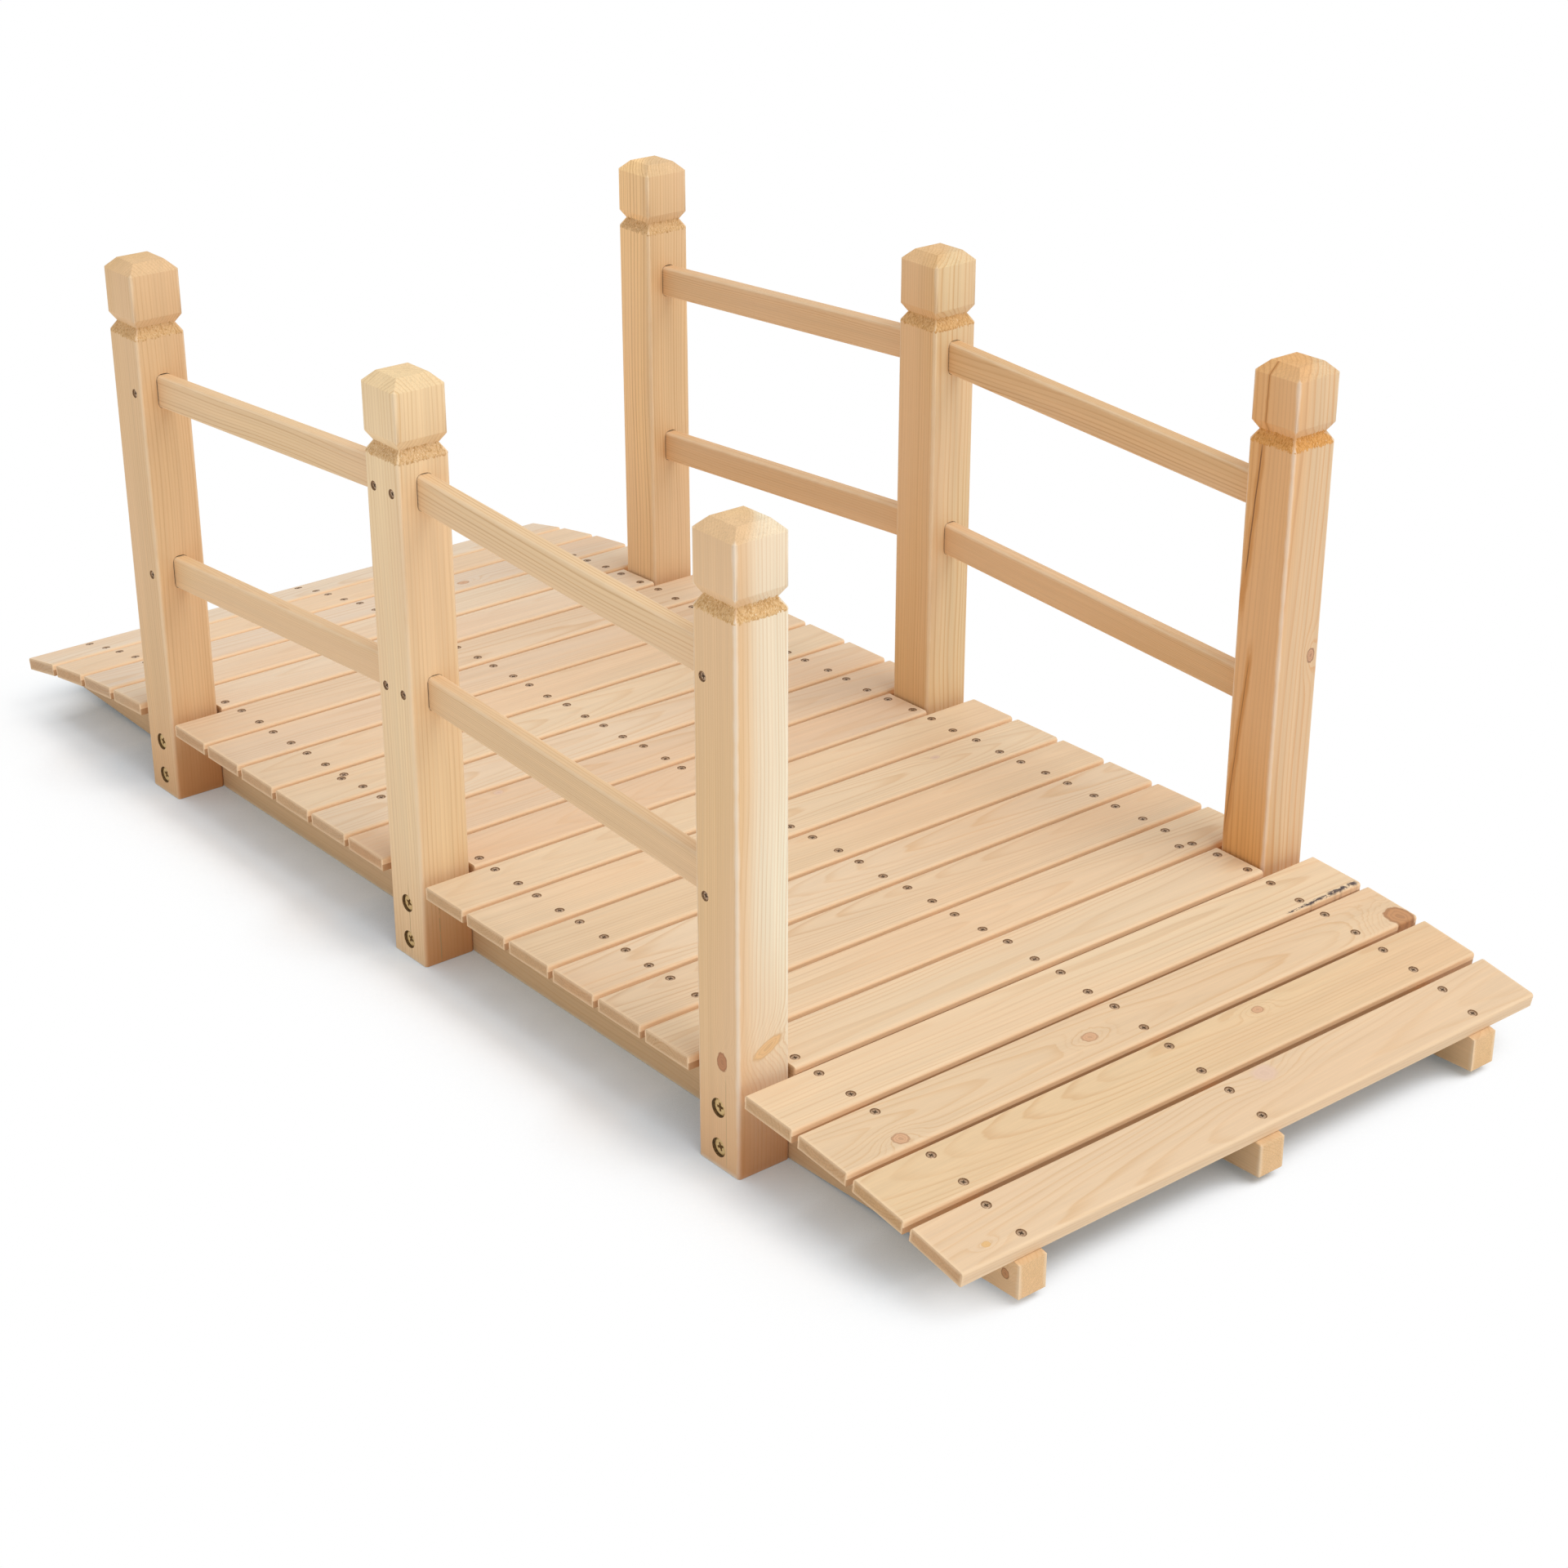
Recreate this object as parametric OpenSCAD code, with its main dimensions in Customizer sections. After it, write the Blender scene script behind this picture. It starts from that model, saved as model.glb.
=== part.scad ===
// Garden bridge in planed softwood: three runners, a slatted deck with sloping ends,
// six chamfered posts and two sloping rails in each bay.
// X runs along the bridge, Y across it and Z up, with the ground at zero.

/* [Deck] */
// Width of one slat along the bridge
slat_w = 59; // [45:1:80]
// Thickness of a slat
slat_t = 13; // [9:0.5:22]
// Gap between neighbouring slats
slat_gap = 6; // [3:0.5:12]
// Length of a full slat, the width of the bridge
slat_l = 660; // [560:5:900]
// Rounding of a slat's long top edges
slat_round = 3; // [1:0.5:5]
// Full slats between two posts
bay_slats = 6; // [4:1:9]
// Full slats beyond each end post
ramp_slats = 4; // [2:1:5]

/* [Runners] */
// Thickness of a runner across the bridge
runner_w = 28; // [20:1:45]
// Height of a runner along its level middle
runner_h = 74; // [66:1:110]
// Radius of the curved top at both ends
ramp_r = 1600; // [1300:10:3000]
// How far inside the end posts' centre line the curve starts
ramp_lead = 43; // [10:1:90]
// How far a runner's tip reaches past the last slat
tip_reach = 5.5; // [4:0.5:20]
// Height of a runner's underside above the ground at its tips
tip_lift = 8; // [2:0.5:15]

/* [Posts] */
// Side of a square post
post_w = 52; // [40:1:64]
// Height of a post above the ground
post_h = 550; // [520:5:900]
// Rounding of a post's upright edges
post_round = 3; // [1:0.5:6]
// Chamfer round the top of a post
cap_chamfer = 10; // [4:0.5:15]
// Depth of the head, from the top down to the groove
head_h = 52; // [30:1:60]
// Height of the V groove's mouth
groove_h = 19; // [8:1:22]
// Depth of the V groove
groove_d = 6; // [3:0.5:9]
// How far the slats reach past the posts' outer faces
slat_reach = 2; // [0:0.5:15]

/* [Rails] */
// Thickness of a rail
rail_w = 15; // [12:1:22]
// Height of a rail
rail_h = 32; // [24:1:40]
// Rounding of a rail's long edges
rail_round = 4; // [1:0.5:6]
// Height of the top rail's axis at the middle posts
top_rail_z = 451; // [400:1:456]
// Height of the lower rail's axis at the middle posts
low_rail_z = 266; // [180:1:340]
// Fall of a rail from the middle post to the end post
rail_drop = 27; // [0:1:60]
// Depth of a rail's seat in a post
tenon_l = 20; // [12:1:23]
// Clearance round a rail in its mortise
mortise_clear = 0.4; // [0.2:0.1:0.8]

/* [Bolts] */
// Diameter of a bolt hole through post and runner
bolt_d = 6.5; // [5:0.5:10]
// Diameter of the recess for a bolt's head
recess_d = 17; // [12:0.5:24]
// Depth of the recess for a bolt's head
recess_depth = 8; // [4:0.5:14]
// Distance between the two bolts of a post
bolt_spacing = 37; // [26:0.5:44]

/* [Hidden] */
$fn = 64;
// Facets of the long end curve
curve_fn = 1440;
// Overrun of every cut
over = 1;
slat_pitch = slat_w + slat_gap;
// Room that a post or a short slat takes between two full slats
slot_w = max(slat_w, post_w) + 2 * slat_gap;
post_pitch = slot_w + bay_slats * slat_pitch - slat_gap;
post_y = slat_l / 2 - slat_reach - post_w / 2;
runner_y = post_y - post_w / 2 - runner_w / 2;
short_l = 2 * (post_y - post_w / 2 - slat_gap / 2);
first_slat = slot_w / 2 + slat_w / 2;
bay_xs = [for (k = [0 : bay_slats - 1]) first_slat + k * slat_pitch];
ramp_xs = [for (k = [0 : ramp_slats - 1]) post_pitch + first_slat + k * slat_pitch];
half_xs = concat(bay_xs, [post_pitch], ramp_xs);
half_count = len(half_xs);
slat_xs = concat([for (k = [half_count - 1 : -1 : 0]) -half_xs[k]], [0], half_xs);
slat_count = len(slat_xs);
ramp_start = post_pitch - ramp_lead;
tip_x = half_xs[half_count - 1] + slat_w / 2 + tip_reach;
taper_x = post_pitch + post_w / 2;
groove_top = post_h - head_h;
rail_angle = atan(rail_drop / post_pitch);
rail_axis = norm([post_pitch, rail_drop]);
rail_start = (post_w / 2 - tenon_l) / cos(rail_angle);
wood = [0.86, 0.70, 0.50];
pale_wood = [0.91, 0.77, 0.60];
dark_wood = [0.78, 0.60, 0.40];

sides = [["left", -1], ["right", 1]];
rows = [["far", -1], ["mid", 0], ["near", 1]];
bays = [["far", -1], ["near", 1]];
levels = [["top", top_rail_z], ["low", low_rail_z]];
runners = [["left", -1], ["centre", 0], ["right", 1]];

function post_name(side, row) = str("post_", side[0], "_", row[0]);
function rail_name(side, bay, level) = str("rail_", side[0], "_", bay[0], "_", level[0]);
function runner_name(place) = str("runner_", place[0]);
function slat_name(k) = str("slat_", k < 9 ? "0" : "", k + 1);

// Fall of the runner's top at x, and its slope there
function curve_run(x) = max(0, abs(x) - ramp_start);
function curve_fall(x) = ramp_r - sqrt(pow(ramp_r, 2) - pow(curve_run(x), 2));
function curve_slope(x) = sign(x) * asin(curve_run(x) / ramp_r);

// Rectangle about the origin with round corners
module round_rect(width, height, round_r) {
    square([width - 2 * round_r, height], center = true);
    square([width, height - 2 * round_r], center = true);
    for (sx = [-1, 1], sy = [-1, 1])
        translate([sx * (width / 2 - round_r), sy * (height / 2 - round_r)])
            circle(r = round_r);
}

// Outline of a runner seen from the side
module runner_outline() {
    intersection() {
        polygon([
            [-tip_x, tip_lift], [-taper_x, 0], [taper_x, 0],
            [tip_x, tip_lift], [tip_x, runner_h], [-tip_x, runner_h]
        ]);
        union() {
            translate([-ramp_start, 0])
                square([2 * ramp_start, runner_h]);
            for (end = [-1, 1])
                translate([end * ramp_start, runner_h - ramp_r])
                    circle(r = ramp_r, $fn = curve_fn);
        }
    }
}

// Bolt holes across one row of posts, from a start depth
module bolt_holes(x, y, diameter, length) {
    for (step = [-1, 1])
        translate([x, y, runner_h / 2 + step * bolt_spacing / 2])
            rotate([90, 0, 0])
                cylinder(d = diameter, h = length, center = true);
}

module runner(place) {
    color(dark_wood)
        difference() {
            translate([0, place[1] * runner_y, 0])
                rotate([90, 0, 0])
                    linear_extrude(runner_w, center = true)
                        runner_outline();
            if (place[1] != 0)
                for (row = rows)
                    bolt_holes(row[1] * post_pitch, place[1] * runner_y, bolt_d, runner_w + 2 * over);
        }
}

// Section of a slat standing on its underside, with its top edges rounded
module slat_section() {
    translate([-slat_w / 2, 0])
        square([slat_w, slat_t - slat_round]);
    translate([-slat_w / 2 + slat_round, 0])
        square([slat_w - 2 * slat_round, slat_t]);
    for (end = [-1, 1])
        translate([end * (slat_w / 2 - slat_round), slat_t - slat_round])
            circle(r = slat_round);
}

// A slat lies on the runners and follows their slope, and one beside a post is short
module slat(x) {
    length = x == 0 || abs(x) == post_pitch ? short_l : slat_l;
    color(pale_wood)
        translate([x, 0, runner_h - curve_fall(x)])
            rotate([0, curve_slope(x), 0])
                rotate([90, 0, 0])
                    linear_extrude(length, center = true)
                        slat_section();
}

// Outline of a post seen square on, with its chamfered top and its groove
module post_outline() {
    half = post_w / 2;
    right = [
        [half, 0], [half, groove_top - groove_h], [half - groove_d, groove_top - groove_h / 2],
        [half, groove_top], [half, post_h - cap_chamfer], [half - cap_chamfer, post_h]
    ];
    left = [for (k = [len(right) - 1 : -1 : 0]) [-right[k][0], right[k][1]]];
    polygon(concat(right, left));
}

module post_blank() {
    intersection() {
        rotate([90, 0, 0])
            linear_extrude(post_w, center = true)
                post_outline();
        rotate([90, 0, 90])
            linear_extrude(post_w, center = true)
                post_outline();
        linear_extrude(post_h)
            round_rect(post_w, post_w, post_round);
    }
}

// A rail with its section grown all round, which also cuts its mortises
module rail_bar(side, bay, level, grow) {
    mirror([bay[1] < 0 ? 1 : 0, 0, 0])
        translate([0, side[1] * post_y, level[1]])
            rotate([0, rail_angle, 0])
                translate([rail_start - grow, 0, 0])
                    rotate([90, 0, 90])
                        linear_extrude(rail_axis - 2 * rail_start + 2 * grow)
                            round_rect(rail_w + 2 * grow, rail_h + 2 * grow, rail_round + grow);
}

module rail(side, bay, level) {
    color(wood)
        rail_bar(side, bay, level, 0);
}

module post(side, row) {
    x = row[1] * post_pitch;
    color(wood)
        difference() {
            translate([x, side[1] * post_y, 0])
                post_blank();
            for (bay = bays, level = levels)
                if (row[1] == 0 || row[1] == bay[1])
                    rail_bar(side, bay, level, mortise_clear);
            bolt_holes(x, side[1] * post_y, bolt_d, post_w + 2 * over);
            bolt_holes(x, side[1] * (post_y + post_w / 2), recess_d, 2 * recess_depth);
        }
}

for (place = runners)
    runner(place);
for (k = [0 : slat_count - 1])
    slat(slat_xs[k]);
for (side = sides, row = rows)
    post(side, row);
for (side = sides, bay = bays, level = levels)
    rail(side, bay, level);
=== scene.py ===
"""Garden bridge in planed softwood: grain, knots, fasteners and stage round the packed frame."""

import math
import random
from collections import namedtuple

import bmesh
import bpy
from bpy.props import FloatProperty, FloatVectorProperty, PointerProperty
from bpy.types import Operator, Panel, PropertyGroup
from mathutils import Matrix, Vector, noise


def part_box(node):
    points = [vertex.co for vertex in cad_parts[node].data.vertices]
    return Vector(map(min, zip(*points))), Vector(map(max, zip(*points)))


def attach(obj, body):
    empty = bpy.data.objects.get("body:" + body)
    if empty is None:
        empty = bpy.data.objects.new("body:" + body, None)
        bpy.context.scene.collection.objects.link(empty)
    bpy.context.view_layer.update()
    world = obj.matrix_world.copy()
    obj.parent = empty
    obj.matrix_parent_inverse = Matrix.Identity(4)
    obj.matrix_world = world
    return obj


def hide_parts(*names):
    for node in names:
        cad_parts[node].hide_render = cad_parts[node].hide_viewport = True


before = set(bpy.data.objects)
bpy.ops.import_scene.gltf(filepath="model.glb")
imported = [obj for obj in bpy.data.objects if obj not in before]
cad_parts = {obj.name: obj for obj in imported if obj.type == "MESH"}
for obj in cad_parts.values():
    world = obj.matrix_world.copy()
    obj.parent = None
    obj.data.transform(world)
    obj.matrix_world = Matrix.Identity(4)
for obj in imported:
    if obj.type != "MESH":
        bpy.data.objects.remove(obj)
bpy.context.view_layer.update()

bl_info = {
    "name": "Garden Bridge",
    "version": (1, 0, 0),
    "blender": (4, 5, 0),
    "location": "View3D > Sidebar > Garden Bridge",
    "description": "Dresses the timbers of a garden bridge and adds its fasteners and stage",
    "category": "Object",
}

MM = 0.001
BODY = "root"
PANEL_TAB = "Garden Bridge"

SLATS = sorted(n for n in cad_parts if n.startswith("slat_"))
POSTS = sorted(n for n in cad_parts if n.startswith("post_"))
RAILS = sorted(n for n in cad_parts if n.startswith("rail_"))
RUNNERS = sorted(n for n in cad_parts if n.startswith("runner_"))
SIDES = ("left", "right")
BAYS = (("far", -1), ("near", 1))
LEVELS = ("top", "low")

# Merging and flattening of a packed timber's loose triangles
MERGE = 0.02 * MM
FLAT = math.radians(0.5)
# Least angles of a corner that is eased and of an edge that is shaded sharp
SHARP = math.radians(40)
SMOOTH = math.radians(27)

# A knot or a streak sits at a place on its timber, turned about the axis that goes into the wood,
# with its half sizes across, along and into the face
Knot = namedtuple("Knot", "place axis half spin tone dark soft", defaults=(0.0,))
Streak = namedtuple("Streak", "place axis half lean tone broken")
# How one timber's grain lies: its pith, the turn of its length, its middle, half size and slope
Grain = namedtuple("Grain", "pith turn middle half slope")
# Where a post's pith lies from its middle along X and Y, how far its heartwood reaches and its ring spacing,
# in millimetres, and the contrast of its rings
Heart = namedtuple("Heart", "x y reach spacing contrast")


def box_of(node):
    """Middle and half size of a packed timber."""
    low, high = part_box(node)
    return (low + high) / 2, (high - low) / 2


RUNNER_YS = {n: box_of(n)[0].y for n in RUNNERS}
RUNNER_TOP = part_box("runner_left")[1].z
POST_HALF = box_of("post_left_near")[1]


class BridgeTimber(PropertyGroup):
    """Colours and grain of the softwood."""

    slat_colour: FloatVectorProperty(
        name="Slat wood", description="Pale wood between a slat's growth rings",
        subtype="COLOR", size=4, min=0, max=1, default=(0.80, 0.592, 0.38, 1))
    slat_ring: FloatVectorProperty(
        name="Slat rings", description="Late wood of a slat's growth rings",
        subtype="COLOR", size=4, min=0, max=1, default=(0.66, 0.40, 0.19, 1))
    post_colour: FloatVectorProperty(
        name="Post wood", description="Pale wood of the posts and rails",
        subtype="COLOR", size=4, min=0, max=1, default=(0.82, 0.57, 0.325, 1))
    post_ring: FloatVectorProperty(
        name="Post rings", description="Late wood of the posts and rails",
        subtype="COLOR", size=4, min=0, max=1, default=(0.64, 0.38, 0.17, 1))
    runner_colour: FloatVectorProperty(
        name="Runner wood", description="Pale wood of the runners",
        subtype="COLOR", size=4, min=0, max=1, default=(0.76, 0.51, 0.28, 1))
    sapwood: FloatVectorProperty(
        name="Sapwood", description="Palest wood, outside the heart of some posts",
        subtype="COLOR", size=4, min=0, max=1, default=(0.90, 0.73, 0.53, 1))
    blush: FloatVectorProperty(
        name="Blush", description="Pinkish cast that drifts through the wood",
        subtype="COLOR", size=4, min=0, max=1, default=(0.83, 0.555, 0.335, 1))
    end_tint: FloatVectorProperty(
        name="End grain", description="Tint of wood cut across its grain",
        subtype="COLOR", size=4, min=0, max=1, default=(0.735, 0.615, 0.50, 1))
    # Painted warm highlight along the slats' eased edges
    slat_edge_highlight: FloatVectorProperty(
        name="Slat edge", description="Warm wood along the slats' eased edges",
        subtype="COLOR", size=4, min=0, max=1, default=(0.91, 0.68, 0.44, 1))
    # Painted pale highlight along the posts', rails' and runners' eased edges
    post_edge_highlight: FloatVectorProperty(
        name="Post edge", description="Pale wood polished along the posts' and rails' edges",
        subtype="COLOR", size=4, min=0, max=1, default=(0.91, 0.72, 0.50, 1))
    ring_spacing: FloatProperty(
        name="Ring spacing", description="Mean distance between two growth rings",
        unit="LENGTH", default=2.6 * MM, min=1 * MM, max=8 * MM)
    rail_spacing: FloatProperty(
        name="Rail ring spacing", description="Mean distance between two rings of the rails and runners",
        unit="LENGTH", default=1.7 * MM, min=0.8 * MM, max=8 * MM)
    arris: FloatProperty(
        name="Eased arris", description="Easing of a timber's sawn corners",
        unit="LENGTH", default=0.7 * MM, min=0.2 * MM, max=2 * MM)
    runner_arris: FloatProperty(
        name="Runner arris", description="Easing of the runners' long corners",
        unit="LENGTH", default=1.5 * MM, min=0.2 * MM, max=3 * MM)
    tear_relief: FloatProperty(
        name="Torn grain", description="Height of the torn fibres in a post's groove",
        unit="LENGTH", default=0.5 * MM, min=0, max=2 * MM)


class BridgeFasteners(PropertyGroup):
    """Sizes and colours of the screws and bolts."""

    head_d: FloatProperty(
        name="Screw head", description="Diameter of a deck screw's countersunk head",
        unit="LENGTH", default=7.2 * MM, min=4 * MM, max=10 * MM)
    seat_d: FloatProperty(
        name="Screw seat", description="Diameter of the countersink round a deck screw",
        unit="LENGTH", default=8.8 * MM, min=5 * MM, max=12 * MM)
    head_sunk: FloatProperty(
        name="Screw depth", description="Depth of a screw's head below the wood",
        unit="LENGTH", default=0.7 * MM, min=0, max=2 * MM)
    pair_gap: FloatProperty(
        name="Screw pair", description="Distance between the two screws of a slat on one runner",
        unit="LENGTH", default=35.5 * MM, min=15 * MM, max=50 * MM)
    rail_screw_x: FloatProperty(
        name="Rail screw", description="Distance from a post's middle to a rail's screw",
        unit="LENGTH", default=14 * MM, min=6 * MM, max=20 * MM)
    bolt_head_d: FloatProperty(
        name="Bolt head", description="Diameter of a bolt's head in its recess",
        unit="LENGTH", default=16.3 * MM, min=8 * MM, max=16.6 * MM)
    bolt_sunk: FloatProperty(
        name="Bolt depth", description="Depth of a bolt's head below the post's face",
        unit="LENGTH", default=2.8 * MM, min=0, max=6 * MM)
    bolt_gap: FloatProperty(
        name="Bolt pair", description="Distance between the two bolts of a post",
        unit="LENGTH", default=37 * MM, min=26 * MM, max=44 * MM)
    shank_d: FloatProperty(
        name="Bolt shank", description="Diameter of a bolt",
        unit="LENGTH", default=6 * MM, min=4 * MM, max=6.4 * MM)
    nut_w: FloatProperty(
        name="Nut", description="Width of a bolt's nut across its corners",
        unit="LENGTH", default=11.5 * MM, min=8 * MM, max=16 * MM)
    steel: FloatVectorProperty(
        name="Screw steel", description="Colour of the screws",
        subtype="COLOR", size=4, min=0, max=1, default=(0.50, 0.33, 0.20, 1))
    brass: FloatVectorProperty(
        name="Bolt plating", description="Colour of the bolts' yellow plating",
        subtype="COLOR", size=4, min=0, max=1, default=(0.74, 0.51, 0.215, 1))


class BridgeStage(PropertyGroup):
    """Camera, light and floor."""

    camera_place: FloatVectorProperty(
        name="Camera", description="Place of the camera",
        subtype="TRANSLATION", unit="LENGTH", default=(2.0774, -1.5859, 1.3111))
    camera_turn: FloatProperty(
        name="Camera turn", description="Direction of view round the upright axis",
        subtype="ANGLE", default=math.radians(140.751))
    camera_dip: FloatProperty(
        name="Camera dip", description="Angle of view below the horizon",
        subtype="ANGLE", default=math.radians(25.299))
    lens: FloatProperty(
        name="Lens", description="Focal length for a 36 mm wide square image in millimetres",
        default=68.889, min=20, max=200)
    floor_colour: FloatVectorProperty(
        name="Floor", description="Colour of the floor",
        subtype="COLOR", size=4, min=0, max=1, default=(0.99, 0.99, 0.99, 1))
    floor_shade: FloatVectorProperty(
        name="Floor shade", description="Cool cast of the floor close to the bridge",
        subtype="COLOR", size=4, min=0, max=1, default=(0.58, 0.80, 1.0, 1))
    shade_reach: FloatProperty(
        name="Shade reach", description="How far the floor's cool cast reaches from the bridge",
        unit="LENGTH", default=0.10, min=0.01, max=1)
    shade_side: FloatVectorProperty(
        name="Bright side", description="Direction that the floor's shade opens towards",
        subtype="DIRECTION", default=(0.74, 0.16, 0.65))
    floor_glow: FloatProperty(
        name="Floor glow", description="Least share of plain white that the camera sees on the floor",
        subtype="FACTOR", default=0.1, min=0, max=1)
    glow_reach: FloatProperty(
        name="Glow reach", description="How far from the bridge the floor fades to plain white",
        unit="LENGTH", default=0.16, min=0.05, max=2)
    sky: FloatProperty(
        name="Sky", description="Strength of the even white light all round",
        default=0.645, min=0, max=2)
    sun: FloatProperty(
        name="Soft sun", description="Strength of the soft lamp above the near end",
        default=1.28, min=0, max=5)
    sun_spread: FloatProperty(
        name="Sun spread", description="Angle that the soft lamp spans",
        subtype="ANGLE", default=math.radians(45))
    sun_from: FloatVectorProperty(
        name="Sun side", description="Direction from the bridge towards the soft lamp",
        subtype="DIRECTION", default=(0.45, 0.20, 0.87))


# Shader building

# What centres a noise colour round zero
HALF_GREY = (0.5, 0.5, 0.5)
# How far a seed moves a timber's noise along each axis
SEED_WAY = (0.73, 1.31, 2.17)


def feed(tree, socket, value):
    """Links a socket to another or sets its value."""
    if isinstance(value, bpy.types.NodeSocket):
        tree.links.new(value, socket)
    else:
        socket.default_value = value


def add_node(tree, kind, values=None, **fields):
    """Adds a shader node with its fields set and its inputs fed."""
    made = tree.nodes.new("ShaderNode" + kind)
    for field, value in fields.items():
        setattr(made, field, value)
    for key, value in (values or {}).items():
        feed(tree, made.inputs[key], value)
    return made


def maths(tree, operation, *values, clamp=False):
    """One Math node's result."""
    made = add_node(tree, "Math", dict(enumerate(values)), operation=operation, use_clamp=clamp)
    return made.outputs[0]


def vectors(tree, operation, *values):
    """One Vector Math node's vector."""
    made = add_node(tree, "VectorMath", dict(enumerate(values)), operation=operation)
    return made.outputs["Vector"]


def scaled(tree, vector, factor):
    """A vector or colour times a value."""
    made = add_node(tree, "VectorMath", {"Vector": vector, "Scale": factor}, operation="SCALE")
    return made.outputs["Vector"]


def length_of(tree, vector):
    """Length of a vector."""
    return add_node(tree, "VectorMath", {"Vector": vector}, operation="LENGTH").outputs["Value"]


def split(tree, vector):
    """The three parts of a vector."""
    return add_node(tree, "SeparateXYZ", {"Vector": vector}).outputs


def step(tree, value, start, end):
    """A smooth step from 0 at start to 1 at end, which may be the lower of the two."""
    made = add_node(
        tree, "MapRange", {"Value": value, "From Min": start, "From Max": end},
        interpolation_type="SMOOTHSTEP")
    return made.outputs["Result"]


def blend(tree, factor, first, second, mode="MIX"):
    """Two colours mixed by a factor."""
    made = add_node(tree, "Mix", data_type="RGBA", blend_type=mode, clamp_factor=True)
    for place, value in ((0, factor), (6, first), (7, second)):
        feed(tree, made.inputs[place], value)
    return made.outputs[2]


def noise_at(tree, vector, scale, detail=1.0):
    """Noise of a vector stretched by a scale for each axis."""
    stretched = vectors(tree, "MULTIPLY", vector, scale)
    made = add_node(tree, "TexNoise", {"Vector": stretched, "Scale": 1.0, "Detail": detail})
    return made.outputs


def centred(tree, value, amount):
    """A noise value moved to lie evenly round zero, times an amount."""
    return maths(tree, "MULTIPLY", maths(tree, "SUBTRACT", value, 0.5), amount)


def new_group(name, inputs, outputs):
    """An empty shader node group with its named sockets."""
    tree = bpy.data.node_groups.new(name, "ShaderNodeTree")
    for label, kind in inputs:
        tree.interface.new_socket(label, in_out="INPUT", socket_type="NodeSocket" + kind)
    for label, kind in outputs:
        tree.interface.new_socket(label, in_out="OUTPUT", socket_type="NodeSocket" + kind)
    return tree, tree.nodes.new("NodeGroupInput").outputs, tree.nodes.new("NodeGroupOutput").inputs


def use_group(tree, name, values):
    """Places a shader node group and feeds its inputs."""
    made = tree.nodes.new("ShaderNodeGroup")
    made.node_tree = bpy.data.node_groups[name]
    for key, value in values.items():
        feed(tree, made.inputs[key], value)
    return made.outputs


def seeded(tree, vector, seed):
    """A vector moved far along by a seed, so that each timber reads other noise."""
    return vectors(tree, "ADD", vector, scaled(tree, SEED_WAY, seed))


# Noise in the grain, as waves per metre across and along the timber
WANDER_WAVES = (2.2, 2.2, 1.7)
RAGGED_WAVES = (110, 110, 7)
FIBRE_WAVES = (620, 620, 8)
BAND_WAVES = (105, 105, 1.6)
DRIFT_WAVES = (9, 9, 2.4)
# How far the rings wander sideways, and how uneven their edges and their years are, in rings
WANDER = 22 * MM
RAGGED = 0.55
YEARS = 1.8
YEAR_WAY = (0.3, 0, 0)
# Where in a ring the late wood starts and is full, and where it ends and starts to fade
LATE_RISE = (0.48, 0.93)
LATE_FALL = (1.0, 0.88)
LATE_HEIGHT = 0.6
# How much the rings differ in strength, and the least strength of one
RING_STRENGTH = (0.65, 0.35)
# How far the sapwood takes to turn pale, the drift at which the blush starts and is full, and its most
SAP_FADE = 12 * MM
BLUSH_RANGE = (0.40, 0.70)
BLUSH_SHARE = 0.55
# How much fibres and bands change the wood's brightness, and how much fibres add to its least roughness
FIBRE_SHADE = 0.15
BAND_SHADE = 0.15
FIBRE_ROUGH = (0.22, 0.46)


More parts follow.
